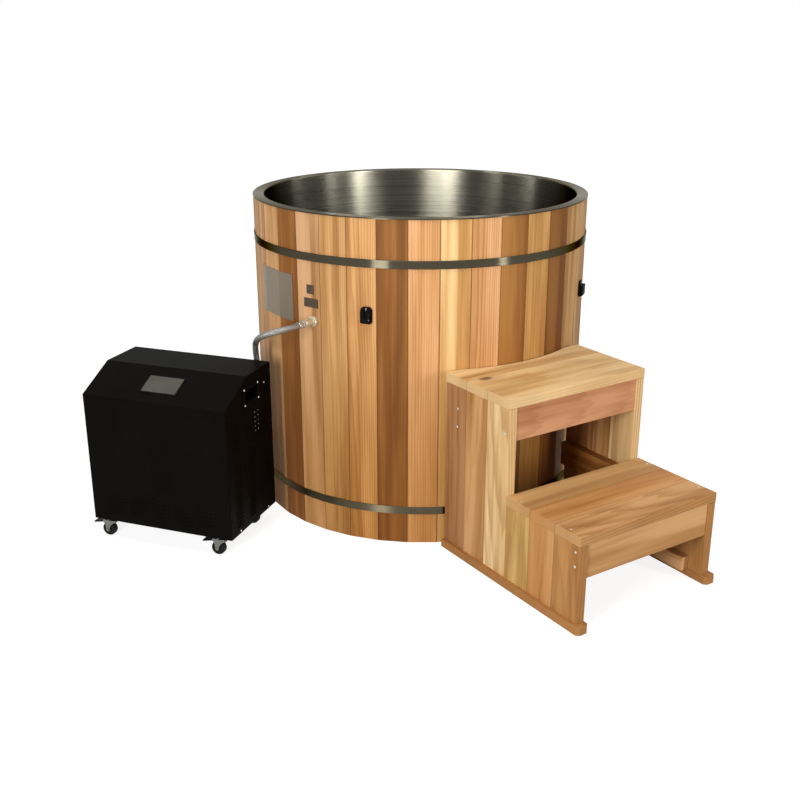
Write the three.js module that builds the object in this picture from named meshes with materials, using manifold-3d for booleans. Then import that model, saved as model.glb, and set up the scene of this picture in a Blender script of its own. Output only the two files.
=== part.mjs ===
// Round cedar cold plunge tub with a stainless liner, its chiller on swivel casters, the braided
// return hose between them and a two-tread cedar step. Millimetres, +Z up, floor at z = 0.
// The tub's axis is the Z axis. Azimuths are degrees from -Y, growing towards +X.
import * as THREE from 'three';
import { mergeVertices } from 'three/addons/utils/BufferGeometryUtils.js';
import Module from 'manifold-3d';

const wasm = await Module();
wasm.setup();

// Clearances
const seat = 0.3;
const running = 0.3;
const boardLap = 0.1;

// Sides of small round pieces
const roundSides = 14;
const turnedSides = 18;

// Tub shell
const tubRadius = 495;
const tubHeight = 920;
const staveCount = 37;
const staveThickness = 27;
const firstSeamAzimuth = -28.1;
const grooveDepth = 1.6;
const grooveWidth = 3.2;
const panelStarts = [-9, 0, 9, 18];
const linerWall = 2.5;
const rimThickness = 3;
const rimOverhang = 1;
const bearerHeight = 60;
const bearerWidth = 80;
const bearerPitch = 220;
const baseThickness = 38;

// Hoops
const hoopWidth = 22;
const hoopThickness = 1.8;
const upperHoopHeight = 800;
const lowerHoopHeight = 100;
const lugStave = 20;
const lugReach = 14;
const lugLength = 12;
const lugSpacing = 18;
const hoopBoltRadius = 4;
const hoopBoltHeadRadius = 6.5;
const hoopBoltHeadLength = 6;

// Cover latches, plates and tags
const latchStaves = [-3, 6, 15, 25];
const latchOffset = 14.5;
const latchHeight = 660;
const latchPlateWidth = 33;
const latchPlateHeight = 47;
const latchPlateThickness = 4;
const latchBodyWidth = 28;
const latchBodyHeight = 34;
const latchBodyDepth = 10;
const latchBodyEase = 4;
const latchCorner = 7;
const latchSlotWidth = 7;
const latchSlotHeight = 18;
const latchSlotDepth = 7;
const plateThickness = 1.5;
const labelPlate = { from: -99.3, to: -79.1, bottom: 609, height: 132 };
const smallTag = { from: -72.6, to: -69.6, bottom: 698, height: 25 };
const wideTag = { from: -73.8, to: -67.9, bottom: 661, height: 25 };

// Wall fittings
const fittingBore = 7;
const fittingTubeRadius = 10.2;
const fittingFlangeRadius = 22;
const fittingFlangeThickness = 5;
const fittingNutFlats = 28;
const fittingNutThickness = 12;
const inletStave = -5;
const inletOffset = 20.5;
const inletHeight = 625;
const inletReach = 45;
const ferruleRadius = 10.6;
const ferruleBore = 6;
const ferruleLength = 21.5;
const outletStave = -8;
const outletHeight = 200;
const outletReach = 48;
const strainerLength = 16;
const drainStave = 18;
const drainHeight = 140;
const drainReach = 62;
const drainBodyRadius = 17;
const drainBodyLength = 34;
const drainBodyStart = 20;
const drainBossRadius = 9;
const drainBossHeight = 24;
const drainStemRadius = 3;
const drainStemDepth = 8;
const drainLeverLength = 68;
const drainLeverWidth = 13;
const drainLeverThickness = 4;

// Hose, whose free points are in build coordinates
const hoseDiameter = 17;
const hoseSides = 8;
const hoseSteps = 36;
const hoseStraightRun = 9;
const hosePoints = [
  [-563.9, -201.5, 624.2],
  [-585.3, -198.1, 620.9],
  [-604.3, -187.4, 615.2],
  [-618.1, -170.7, 606.7],
  [-624.4, -150.7, 594.2],
  [-622.6, -133.6, 581.4],
  [-617, -118, 571.4],
  [-608.4, -99.4, 564],
  [-599.2, -81.3, 560.5],
  [-590.3, -64.3, 557.5],
  [-581.8, -46, 551.6],
  [-574.1, -26.4, 539.6],
  [-567.9, -11.3, 522.4],
  [-562.8, -2.4, 503.5],
  [-558.9, 2.2, 482.3],
  [-556.7, 3.5, 460.3],
  [-555.9, 3, 438.4],
  [-555.9, 2, 414.1],
];

// Two-tread step
const stepCentreX = 7.3;
const stepNest = 34;
const stepBackY = stepNest - tubRadius;
const stepWidth = 465;
const upperTreadTop = 514;
const upperTreadDepth = 267;
const lowerTreadTop = 254.5;
const lowerTreadDepth = 279;
const boardsPerTread = 3;
const boardThickness = 26;
const boardEase = 1.2;
const treadTubGap = 4;
const apronHeight = 89;
const apronSetback = 3;
const backRailSetback = 39;
const runnerHeight = 22;
const runnerWidth = 38;
const runnerOutset = 10.6;
const runnerNose = 18;
const runnerChamfer = 8;
const cleatThickness = 26;
const cleatBackSetback = 12;
const lowCleatHeight = 38;
const lowCleatFrontSetback = 46;
const midCleatHeight = 70;
const midCleatFrontSetback = 32;

// Chiller housing, in its own frame: x along the front, y from the front to the back
const chillerStandoff = 532.9;
const chillerCorner = [-(tubRadius + chillerStandoff), 124.7];
const chillerTurn = -52.97;
const chillerWidth = 437;
const chillerDepth = 268;
const housingBottom = 62;
const slopeBottom = 435.4;
const housingTop = 494.9;
const slopeDepth = 127;
const sheet = 2;
const panBase = 3;
const louvreColumns = [54, 131];
const louvreWidth = 36;
const louvreSlot = 5;
const louvrePitch = 11;
const louvreRows = 26;
const louvreBottom = 82;
const frontSlotColumns = 5;
const frontSlotRows = 5;
const frontSlotWidth = 56;
const frontSlotHeight = 5;
const frontSlotPitchX = 72;
const frontSlotPitchZ = 12;
const frontSlotBottom = 88;
const screenWidth = 105;
const screenHeight = 61;
const screenThickness = 2;
const screenLeft = 164;
const screenUpSlope = 38.5;
const handleY = 146.6;
const handleZ = 439;
const handleFlangeWidth = 92;
const handleFlangeHeight = 58;
const handleFlangeThickness = 2.5;
const handleCupWidth = 72;
const handleCupHeight = 38;
const handleCupDepth = 24;
const handleWall = 2.5;

// Chiller ports and mains inlet on the back panel
const portPlate = { left: 296, right: 412, bottom: 212, top: 362, thickness: 6 };
const returnPortX = 382.5;
const returnPortZ = 332;
const portStandOff = 34.5;
const portTubeRadius = 12;
const portRise = 46;
const portFerruleRadius = 14;
const portFerruleLength = 22;
const portBore = 6;
const supplyPortX = 330;
const supplyPortZ = 248;
const supplyPortReach = 34;
const mainsInlet = { x: 92, z: 118, width: 50, height: 32, depth: 9, recess: 6, wall: 4 };

// Chiller works
const condenser = { left: 24, width: 40, margin: 34, height: 262 };
const fanCentreZ = 205;
const fanMotorRadius = 30;
const fanMotorLength = 30;
const fanShaftRadius = 4;
const fanShaftLength = 30;
const fanHubRadius = 20;
const fanHubLength = 22;
const fanHubGap = 3;
const fanBladeCount = 5;
const fanBladeTip = 88;
const fanBladeChord = 46;
const fanBladeThickness = 3;
const fanBladePitch = 32;
const compressor = { x: 292, y: 186, radius: 60, height: 190, dome: 26 };
const exchanger = { x: 178, y: 186, radius: 44, height: 250, cap: 12, capRadius: 48 };

// Casters
const casterInsetX = 42;
const casterInsetY = 31;
const casterPadSize = 46;
const casterPadThickness = 4;
const wheelRadius = 20;
const wheelWidth = 18;
const wheelTrail = 17;
const wheelSide = 2;
const axleRadius = 4;
const kingpinRadius = 5;
const raceRadius = 17;
const forkPlate = 3;
const forkTop = 50;
const forkHalfLength = 14;
const legFoot = 5.5;
const pedalPinRadius = 2;
const pedalPinX = -28;
const pedalPinZ = 44.5;
const pedalHubRadius = 4.2;
const pedalLength = 34;
const pedalDrop = 7;
const pedalWidth = 22;
const pedalThickness = 4;

const rad = THREE.MathUtils.degToRad;

const finishes = {
  cedar: () => new THREE.MeshStandardMaterial({ color: 0xc08a55, roughness: 0.65, metalness: 0 }),
  paleCedar: () => new THREE.MeshStandardMaterial({ color: 0xcfa470, roughness: 0.65, metalness: 0 }),
  stainless: () => new THREE.MeshStandardMaterial({ color: 0xb9bbbc, roughness: 0.32, metalness: 1 }),
  darkMetal: () => new THREE.MeshStandardMaterial({ color: 0x6d655a, roughness: 0.45, metalness: 1 }),
  brass: () => new THREE.MeshStandardMaterial({ color: 0xb79d67, roughness: 0.3, metalness: 1 }),
  chrome: () => new THREE.MeshStandardMaterial({ color: 0xd4d6d8, roughness: 0.12, metalness: 1 }),
  braid: () => new THREE.MeshStandardMaterial({ color: 0x85878a, roughness: 0.45, metalness: 0.8 }),
  blackSteel: () => new THREE.MeshStandardMaterial({ color: 0x12110f, roughness: 0.55, metalness: 0.2 }),
  blackPlastic: () => new THREE.MeshStandardMaterial({ color: 0x141414, roughness: 0.5, metalness: 0 }),
  zinc: () => new THREE.MeshStandardMaterial({ color: 0x9a9c98, roughness: 0.35, metalness: 1 }),
  screen: () => new THREE.MeshStandardMaterial({ color: 0x4b4b47, roughness: 0.2, metalness: 0 }),
  copper: () => new THREE.MeshStandardMaterial({ color: 0xb07a52, roughness: 0.4, metalness: 1 }),
};

// Solids from closed geometry, and back
function signedVolume(position, triangles) {
  const a = new THREE.Vector3();
  const b = new THREE.Vector3();
  const c = new THREE.Vector3();
  let sum = 0;
  for (let i = 0; i < triangles.length; i += 3) {
    a.fromBufferAttribute(position, triangles[i]);
    b.fromBufferAttribute(position, triangles[i + 1]);
    c.fromBufferAttribute(position, triangles[i + 2]);
    sum += a.dot(b.cross(c));
  }
  return sum / 6;
}

function solid(geometry) {
  const bare = geometry.clone();
  bare.deleteAttribute('normal');
  bare.deleteAttribute('uv');
  const merged = mergeVertices(bare, 1e-4);
  const index = merged.index.array;
  const kept = [];
  for (let i = 0; i < index.length; i += 3) {
    const [p, q, r] = [index[i], index[i + 1], index[i + 2]];
    if (p !== q && q !== r && r !== p) kept.push(p, q, r);
  }
  if (signedVolume(merged.attributes.position, kept) < 0) {
    for (let i = 0; i < kept.length; i += 3) [kept[i], kept[i + 1]] = [kept[i + 1], kept[i]];
  }
  return new wasm.Manifold(new wasm.Mesh({
    numProp: 3,
    vertProperties: new Float32Array(merged.attributes.position.array),
    triVerts: new Uint32Array(kept),
  }));
}

function surface(body) {
  const mesh = body.getMesh();
  const geometry = new THREE.BufferGeometry();
  geometry.setAttribute('position', new THREE.BufferAttribute(new Float32Array(mesh.vertProperties), 3));
  geometry.setIndex(new THREE.BufferAttribute(new Uint32Array(mesh.triVerts), 1));
  geometry.computeVertexNormals();
  return geometry;
}

function join(pieces) {
  return surface(pieces.map(solid).reduce((sum, piece) => sum.add(piece)));
}

function cut(geometry, tools) {
  return surface(tools.map(solid).reduce((rest, tool) => rest.subtract(tool), solid(geometry)));
}

// Basic shapes
function block(x0, x1, y0, y1, z0, z1) {
  const geometry = new THREE.BoxGeometry(x1 - x0, y1 - y0, z1 - z0);
  return geometry.translate((x0 + x1) / 2, (y0 + y1) / 2, (z0 + z1) / 2);
}

function outline(points) {
  return new THREE.Shape(points.map(([x, y]) => new THREE.Vector2(x, y)));
}

function prism(points, height, holes = []) {
  const shape = outline(points);
  holes.forEach((hole) => shape.holes.push(outline(hole)));
  return new THREE.ExtrudeGeometry(shape, { depth: height, bevelEnabled: false });
}

function ring(radius, sides, turn = 0) {
  const points = [];
  for (let i = 0; i < sides; i += 1) {
    const angle = turn + (2 * Math.PI * i) / sides;
    points.push([radius * Math.cos(angle), radius * Math.sin(angle)]);
  }
  return points;
}

// A rod along local X, Y or Z from one end coordinate to the other
function rod(axis, radius, from, to, sides = roundSides) {
  const geometry = new THREE.CylinderGeometry(radius, radius, to - from, sides);
  geometry.translate(0, (from + to) / 2, 0);
  if (axis === 'x') geometry.rotateZ(-Math.PI / 2);
  if (axis === 'z') geometry.rotateX(Math.PI / 2);
  return geometry;
}

// A turned piece about local X from (distance along the axis, radius) pairs
function turnedAlongX(profile, sides = turnedSides) {
  const points = profile.map(([along, radius]) => new THREE.Vector2(radius, along));
  points.push(points[0].clone());
  return new THREE.LatheGeometry(points, sides).rotateZ(-Math.PI / 2);
}

function turnedAlongZ(profile, sides = turnedSides, start = 0) {
  const points = profile.map(([radius, height]) => new THREE.Vector2(radius, height));
  return new THREE.LatheGeometry(points, sides, start).rotateX(Math.PI / 2);
}

// An outline in (y, z) pushed along +x
function pushedAlongX(points, x0, x1, holes = []) {
  const axes = new THREE.Matrix4().makeBasis(
    new THREE.Vector3(0, 1, 0),
    new THREE.Vector3(0, 0, 1),
    new THREE.Vector3(1, 0, 0),
  );
  return prism(points, x1 - x0, holes).applyMatrix4(axes).translate(x0, 0, 0);
}

// An outline in (x, z) pushed along +y
function pushedAlongY(points, y0, y1) {
  const axes = new THREE.Matrix4().makeBasis(
    new THREE.Vector3(1, 0, 0),
    new THREE.Vector3(0, 0, 1),
    new THREE.Vector3(0, -1, 0),
  );
  return prism(points, y1 - y0).applyMatrix4(axes).translate(0, y1, 0);
}

const group = new THREE.Group();

function add(parent, name, geometry, finish) {
  const mesh = new THREE.Mesh(surface(solid(geometry)), finishes[finish]());
  mesh.name = name;
  parent.add(mesh);
  return mesh;
}

function inBuildFrame(frame, geometry) {
  frame.updateWorldMatrix(true, false);
  return geometry.clone().applyMatrix4(frame.matrixWorld);
}

// Tub: the stave wall is a regular polygon with its corners on the tub's radius
const staveAngle = 360 / staveCount;
const halfStave = Math.PI / staveCount;
const wallFlat = tubRadius * Math.cos(halfStave);
const innerFlat = wallFlat - staveThickness;
const linerOuter = innerFlat - seat;
const linerInner = linerOuter - linerWall;
const linerFloor = bearerHeight + seat + baseThickness + seat;
const staveTop = tubHeight - rimThickness - seat;
const tubSides = 2 * staveCount;

function seamAzimuth(index) {
  return firstSeamAzimuth + index * staveAngle;
}

function polar(radius, azimuth) {
  return [radius * Math.sin(rad(azimuth)), -radius * Math.cos(rad(azimuth))];
}

// Point over the wall at an azimuth, a distance out from the flat of the stave there
function overWall(azimuth, distance) {
  const stave = Math.floor((azimuth - firstSeamAzimuth) / staveAngle + 1e-9);
  const middle = seamAzimuth(stave + 0.5);
  return polar((wallFlat + distance) / Math.cos(rad(azimuth - middle)), azimuth);
}

// Frame on the flat of a stave: +x out of the wall, +y along it, +z up
function onStave(index, offset, height) {
  const azimuth = seamAzimuth(index + 0.5);
  const frame = new THREE.Group();
  const [x, y] = polar(wallFlat, azimuth);
  frame.position.set(x + offset * Math.cos(rad(azimuth)), y + offset * Math.sin(rad(azimuth)), height);
  frame.rotation.z = rad(azimuth - 90);
  group.add(frame);
  return frame;
}

// Depth behind the wall's flat at which a flange of a radius clears the liner's inside
function behindLiner(offset, radius) {
  const clear = linerInner * Math.cos(halfStave / 2);
  const side = Math.abs(offset) + radius;
  return wallFlat - Math.sqrt(clear * clear - side * side) + seat;
}

const inletFrame = onStave(inletStave, inletOffset, inletHeight);
const outletFrame = onStave(outletStave, 0, outletHeight);
const drainFrame = onStave(drainStave, 0, drainHeight);
const wallHole = rod('x', fittingTubeRadius + seat, -3 * staveThickness, staveThickness, turnedSides);
const wallHoles = [inletFrame, outletFrame, drainFrame].map((frame) => inBuildFrame(frame, wallHole));

const liner = turnedAlongZ([
  [0, linerFloor],
  [linerOuter, linerFloor],
  [linerOuter, tubHeight - rimThickness],
  [tubRadius + rimOverhang, tubHeight - rimThickness],
  [tubRadius + rimOverhang, tubHeight],
  [linerInner, tubHeight],
  [linerInner, linerFloor + linerWall],
  [0, linerFloor + linerWall],
], tubSides, rad(firstSeamAzimuth));
add(group, 'tub_liner', cut(liner, wallHoles), 'stainless');

function stavePanel(first, count) {
  const innerCorner = innerFlat / Math.cos(halfStave);
  const endTurn = THREE.MathUtils.radToDeg(seat / 2 / tubRadius);
  const outer = [];
  const inner = [];
  for (let i = 0; i < count; i += 1) {
    const begin = seamAzimuth(first + i) + (i === 0 ? endTurn : 0);
    const finish = seamAzimuth(first + i + 1);
    const [x0, y0] = polar(tubRadius, seamAzimuth(first + i));
    const [x1, y1] = polar(tubRadius, finish);
    const share = grooveWidth / 2 / Math.hypot(x1 - x0, y1 - y0);
    outer.push(polar(tubRadius - grooveDepth, begin));
    outer.push([x0 + (x1 - x0) * share, y0 + (y1 - y0) * share]);
    outer.push([x1 - (x1 - x0) * share, y1 - (y1 - y0) * share]);
    inner.push(polar(innerCorner, begin));
  }
  const last = seamAzimuth(first + count) - endTurn;
  outer.push(polar(tubRadius - grooveDepth, last));
  inner.push(polar(innerCorner, last));
  return prism([...outer, ...inner.reverse()], staveTop);
}

panelStarts.forEach((first, i) => {
  const next = i + 1 < panelStarts.length ? panelStarts[i + 1] : panelStarts[0] + staveCount;
  add(group, `stave_panel_${i + 1}`, cut(stavePanel(first, next - first), wallHoles), 'cedar');
});

function hoop(height) {
  const corners = (distance) => {
    const points = [];
    for (let k = 0; k < staveCount; k += 1) points.push(overWall(seamAzimuth(k), distance));
    return points;
  };
  const band = prism(corners(seat + hoopThickness), hoopWidth, [corners(seat)]);
  band.translate(0, 0, height - hoopWidth / 2);
  const frame = onStave(lugStave, 0, height);
  const root = seat + hoopThickness / 2;
  const half = hoopWidth / 2;
  const boltX = root + lugReach / 2 + hoopThickness;
  const boltHalf = lugSpacing / 2 + lugLength + hoopBoltHeadLength;
  const bolt = rod('y', hoopBoltRadius, -boltHalf, boltHalf, 8).translate(boltX, 0, 0);
  const pieces = [band, inBuildFrame(frame, bolt)];
  for (const side of [-1, 1]) {
    const near = (side * lugSpacing) / 2;
    const far = near + side * lugLength;
    const lug = block(root, root + lugReach, Math.min(near, far), Math.max(near, far), -half, half);
    const headEnd = far + side * hoopBoltHeadLength;
    const head = rod('y', hoopBoltHeadRadius, Math.min(far, headEnd), Math.max(far, headEnd), 6);
    pieces.push(inBuildFrame(frame, lug), inBuildFrame(frame, head.translate(boltX, 0, 0)));
  }
  return join(pieces);
}

add(group, 'hoop_upper', hoop(upperHoopHeight), 'stainless');
add(group, 'hoop_lower', hoop(lowerHoopHeight), 'stainless');

// Base boards lie on three bearers tied by a cross bearer
const baseDisc = rod('z', linerOuter, bearerHeight + seat, bearerHeight + seat + baseThickness, tubSides);
add(group, 'base_boards', baseDisc, 'cedar');
const bearers = [];
for (const row of [-1, 0, 1]) {
  const middle = row * bearerPitch;
  const far = Math.abs(middle) + bearerWidth / 2;
  const half = Math.sqrt(linerOuter * linerOuter - far * far) - grooveWidth;
  bearers.push(block(-half, half, middle - bearerWidth / 2, middle + bearerWidth / 2, 0, bearerHeight));
}
const crossHalf = bearerPitch + bearerWidth / 2;
bearers.push(block(-bearerWidth / 2, bearerWidth / 2, -crossHalf, crossHalf, 0, bearerHeight));
add(group, 'base_bearers', join(bearers), 'cedar');

// Cover latches
latchStaves.forEach((stave, i) => {
  const frame = onStave(stave, latchOffset, latchHeight);
  const halfPlate = latchPlateHeight / 2;
  const bodyBottom = -halfPlate + latchPlateThickness / 2;
  const bodyTop = bodyBottom + latchBodyHeight;
  const back = seat;
  const face = back + latchPlateThickness;
  const front = face + latchBodyDepth;
  const plate = block(back, face, -latchPlateWidth / 2, latchPlateWidth / 2, -halfPlate, halfPlate);
  const body = pushedAlongY([
    [back, bodyBottom],
    [front - latchBodyEase, bodyBottom],
    [front, bodyBottom + latchBodyEase],
    [front, bodyTop],
    [back, bodyTop],
  ], -latchBodyWidth / 2, latchBodyWidth / 2);
  const slot = block(front - latchSlotDepth, front + latchSlotDepth, -latchSlotWidth / 2,
    latchSlotWidth / 2, bodyTop - latchSlotHeight, bodyTop + latchSlotHeight);
  const corners = [];
  for (const y of [-1, 1]) {
    for (const z of [-1, 1]) {
      corners.push(pushedAlongX([
        [y * (latchPlateWidth / 2 - latchCorner), z * (halfPlate + seat)],
        [y * (latchPlateWidth / 2 + seat), z * (halfPlate + seat)],
        [y * (latchPlateWidth / 2 + seat), z * (halfPlate - latchCorner)],
      ], 0, front + seat));
    }
  }
  add(frame, `latch_${i + 1}`, cut(join([plate, body]), [slot, ...corners]), 'blackPlastic');
});

// Thin plates that follow the stave faces
function wallPlate({ from, to, bottom, height }) {
  const azimuths = [from];
  for (let k = -staveCount; k < staveCount; k += 1) {
    if (seamAzimuth(k) > from && seamAzimuth(k) < to) azimuths.push(seamAzimuth(k));
  }
  azimuths.push(to);
  const outer = azimuths.map((azimuth) => overWall(azimuth, seat + plateThickness));
  const inner = azimuths.map((azimuth) => overWall(azimuth, seat));
  return prism([...outer, ...inner.reverse()], height).translate(0, 0, bottom);
}

add(group, 'label_plate', wallPlate(labelPlate), 'stainless');
add(group, 'tag_small', wallPlate(smallTag), 'darkMetal');
add(group, 'tag_wide', wallPlate(wideTag), 'darkMetal');

// Wall fittings, turned about the wall's normal
function bulkhead(offset, reach) {
  const flange = -behindLiner(offset, fittingFlangeRadius);
  return turnedAlongX([
    [flange - fittingFlangeThickness, fittingBore],
    [flange - fittingFlangeThickness, fittingFlangeRadius],
    [flange, fittingFlangeRadius],
    [flange, fittingTubeRadius],
    [reach, fittingTubeRadius],
    [reach, fittingBore],
  ]);
}

function hexNut(bore) {
  const corner = fittingNutFlats / 2 / Math.cos(Math.PI / 6);
  const nut = prism(ring(corner, 6), fittingNutThickness, [ring(bore, turnedSides)]);
  return nut.rotateY(Math.PI / 2).translate(seat, 0, 0);
}

add(inletFrame, 'inlet_bulkhead', bulkhead(inletOffset, inletReach), 'brass');
add(inletFrame, 'inlet_nut', hexNut(fittingTubeRadius + seat), 'brass');
const ferruleStart = inletReach + seat;
const ferruleEnd = ferruleStart + ferruleLength;
add(inletFrame, 'inlet_ferrule', turnedAlongX([
  [ferruleStart, ferruleBore],
  [ferruleStart, ferruleRadius],
  [ferruleEnd, ferruleRadius],
  [ferruleEnd, ferruleBore],
]), 'chrome');

const strainerFace = -behindLiner(0, fittingFlangeRadius) - fittingFlangeThickness;
const strainer = turnedAlongX([
  [strainerFace - strainerLength, fittingBore],
  [strainerFace - strainerLength, fittingTubeRadius],
  [strainerFace + fittingFlangeThickness / 2, fittingFlangeRadius - grooveWidth],
  [strainerFace + fittingFlangeThickness / 2, fittingBore],
]);
const outletNut = hexNut(fittingTubeRadius - seat);
add(outletFrame, 'outlet_bulkhead', join([bulkhead(0, outletReach), strainer, outletNut]), 'brass');

// Drain valve: a ball body on the bulkhead with a quarter-turn lever on its boss
const drainBodyEnd = drainBodyStart + drainBodyLength;
const drainBody = turnedAlongX([
  [drainBodyStart, fittingBore],
  [drainBodyStart, drainBodyRadius],
  [drainBodyEnd, drainBodyRadius],
  [drainBodyEnd, fittingBore],
]);
const drainAxisX = drainBodyStart + drainBodyLength / 2;
const drainBoss = rod('z', drainBossRadius, fittingTubeRadius, drainBossHeight).translate(drainAxisX, 0, 0);
const drainSocketBottom = drainBossHeight - drainStemDepth;
const drainSocket = rod('z', drainStemRadius + running, drainSocketBottom, drainBossHeight + running)
  .translate(drainAxisX, 0, 0);
const drainSolid = join([bulkhead(0, drainReach), drainBody, drainBoss, hexNut(fittingTubeRadius - seat)]);
add(drainFrame, 'drain_valve_body', cut(drainSolid, [drainSocket]), 'brass');
const leverBottom = drainBossHeight + running;
const leverTop = leverBottom + drainLeverThickness;
const leverStem = rod('z', drainStemRadius, drainSocketBottom + running, leverTop);
const leverHub = rod('z', drainBossRadius, leverBottom, leverTop);
const leverHalf = drainLeverWidth / 2;
const leverArm = block(-leverHalf, leverHalf, 0, drainLeverLength, leverBottom, leverTop);
const lever = join([leverStem, leverHub, leverArm]).translate(drainAxisX, 0, 0);
add(drainFrame, 'drain_lever', lever, 'stainless');

// Step: x across, -y towards its front
const stepGroup = new THREE.Group();
stepGroup.position.set(stepCentreX, stepBackY, 0);
group.add(stepGroup);
const stepHalf = stepWidth / 2;
const innerHalf = stepHalf - boardThickness;
const upperUnder = upperTreadTop - boardThickness;
const lowerUnder = lowerTreadTop - boardThickness;
const lowerBack = upperTreadDepth + seat;
const lowerFront = lowerBack + lowerTreadDepth;
const panelBottom = runnerHeight + seat;

function easedSection(a0, a1, b0, b1) {
  const e = boardEase;
  return [
    [a0 + e, b0],
    [a1 - e, b0],
    [a1, b0 + e],
    [a1, b1 - e],
    [a1 - e, b1],
    [a0 + e, b1],
    [a0, b1 - e],
    [a0, b0 + e],
  ];
}

// Glued boards side by side from the back edge to the front edge
function boardSpans(back, front) {
  const width = (front - back) / boardsPerTread;
  const spans = [];
  for (let i = 0; i < boardsPerTread; i += 1) {
    const from = back + i * width - (i > 0 ? boardLap : 0);
    const to = back + (i + 1) * width + (i + 1 < boardsPerTread ? boardLap : 0);
    spans.push([from, to]);
  }
  return spans;
}

function tread(back, front, top) {
  const boards = boardSpans(back, front).map(([from, to]) => (
    pushedAlongX(easedSection(-to, -from, top - boardThickness, top), -stepHalf, stepHalf)
  ));
  return join(boards);
}

const tubClear = rod('z', tubRadius + treadTubGap, 0, tubHeight, tubSides)
  .translate(-stepCentreX, -stepBackY, 0);
add(stepGroup, 'upper_tread', cut(tread(0, upperTreadDepth, upperTreadTop), [tubClear]), 'paleCedar');
add(stepGroup, 'lower_tread', tread(lowerBack, lowerFront, lowerTreadTop), 'paleCedar');

function sidePanel(x0, x1) {
  const upper = boardSpans(0, upperTreadDepth).map(([from, to]) => (
    prism(easedSection(x0, x1, -to, -from), upperUnder - seat - panelBottom)
  ));
  const lower = boardSpans(upperTreadDepth - boardLap, lowerFront).map(([from, to]) => (
    prism(easedSection(x0, x1, -to, -from), lowerUnder - seat - panelBottom)
  ));
  return join([...upper, ...lower]).translate(0, 0, panelBottom);
}

function runner(outer, inner) {
  const out = Math.sign(outer - inner) * runnerChamfer;
  const front = -(lowerFront + runnerNose);
  const points = [
    [outer, 0],
    [inner, 0],
    [inner, front + runnerChamfer],
    [inner + out, front],
    [outer - out, front],
    [outer, front + runnerChamfer],
  ];
  return prism(points, runnerHeight);
}

for (const [side, sign] of [['left', -1], ['right', 1]]) {
  const face = sign * stepHalf;
  const inside = sign * innerHalf;
  add(stepGroup, `side_panel_${side}`, sidePanel(Math.min(face, inside), Math.max(face, inside)), 'cedar');
  const outer = face + sign * runnerOutset;
  add(stepGroup, `runner_${side}`, runner(outer, outer - sign * runnerWidth), 'cedar');
  const near = sign * (innerHalf - seat);
  const far = near - sign * cleatThickness;
  const x0 = Math.min(near, far);
  const x1 = Math.max(near, far);
  const lowFront = -(lowerFront - lowCleatFrontSetback);
  const low = block(x0, x1, lowFront, -cleatBackSetback, panelBottom, panelBottom + lowCleatHeight);
  add(stepGroup, `low_cleat_${side}`, low, 'cedar');
  const midFront = -(lowerFront - midCleatFrontSetback);
  const midTop = lowerUnder - seat;
  const mid = block(x0, x1, midFront, -cleatBackSetback, midTop - midCleatHeight, midTop);
  add(stepGroup, `mid_cleat_${side}`, mid, 'cedar');
}

function crossRail(front, under) {
  const half = innerHalf - seat;
  return block(-half, half, -front, -front + boardThickness, under - seat - apronHeight, under - seat);
}

add(stepGroup, 'upper_apron', crossRail(upperTreadDepth - apronSetback, upperUnder), 'cedar');
add(stepGroup, 'lower_apron', crossRail(lowerFront - apronSetback, lowerUnder), 'cedar');
add(stepGroup, 'upper_back_rail', crossRail(backRailSetback + boardThickness, upperUnder), 'cedar');

// Chiller housing: one bent sheet for front, slope and top, flush side panels, back panel, base pan
const chiller = new THREE.Group();
chiller.position.set(chillerCorner[0], chillerCorner[1], 0);
chiller.rotation.z = rad(chillerTurn);
group.add(chiller);

// The housing's profile in (y, z), drawn a distance inside its outer face
function profileLine(inset) {
  const slope = Math.atan2(housingTop - slopeBottom, slopeDepth);
  const frontBend = inset * Math.tan((Math.PI / 2 - slope) / 2);
  const topBend = inset * Math.tan(slope / 2);
  return [
    [inset, housingBottom],
    [inset, slopeBottom - frontBend],
    [slopeDepth + topBend, housingTop - inset],
    [chillerDepth, housingTop - inset],
  ];
}

const coverSheet = pushedAlongX([...profileLine(0), ...profileLine(sheet).reverse()], 0, chillerWidth);
const frontSlots = [];
const slotsSpan = (frontSlotColumns - 1) * frontSlotPitchX + frontSlotWidth;
const slotsLeft = (chillerWidth - slotsSpan) / 2;
for (let column = 0; column < frontSlotColumns; column += 1) {
  for (let row = 0; row < frontSlotRows; row += 1) {
    const x = slotsLeft + column * frontSlotPitchX;
    const z = frontSlotBottom + row * frontSlotPitchZ;
    frontSlots.push(block(x, x + frontSlotWidth, -sheet, 2 * sheet, z, z + frontSlotHeight));
  }
}
add(chiller, 'chiller_cover', cut(coverSheet, frontSlots), 'blackSteel');

const panelOutline = [...profileLine(sheet + seat), [chillerDepth, housingBottom]];
const rightInner = chillerWidth - sheet;

// A side sheet from x0 to x1, pierced for the handle's cup and the louvre slots
function sidePanelSheet(x0, x1) {
  const halfW = handleCupWidth / 2 + seat;
  const halfH = handleCupHeight / 2 + seat;
  const openings = [
    block(x0 - sheet, x1 + sheet, handleY - halfW, handleY + halfW, handleZ - halfH, handleZ + halfH),
  ];
  for (const middle of louvreColumns) {
    for (let row = 0; row < louvreRows; row += 1) {
      const z = louvreBottom + row * louvrePitch;
      const half = louvreWidth / 2;
      openings.push(block(x0 - sheet, x1 + sheet, middle - half, middle + half, z, z + louvreSlot));
    }
  }
  return cut(pushedAlongX(panelOutline, x0, x1), openings);
}

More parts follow.
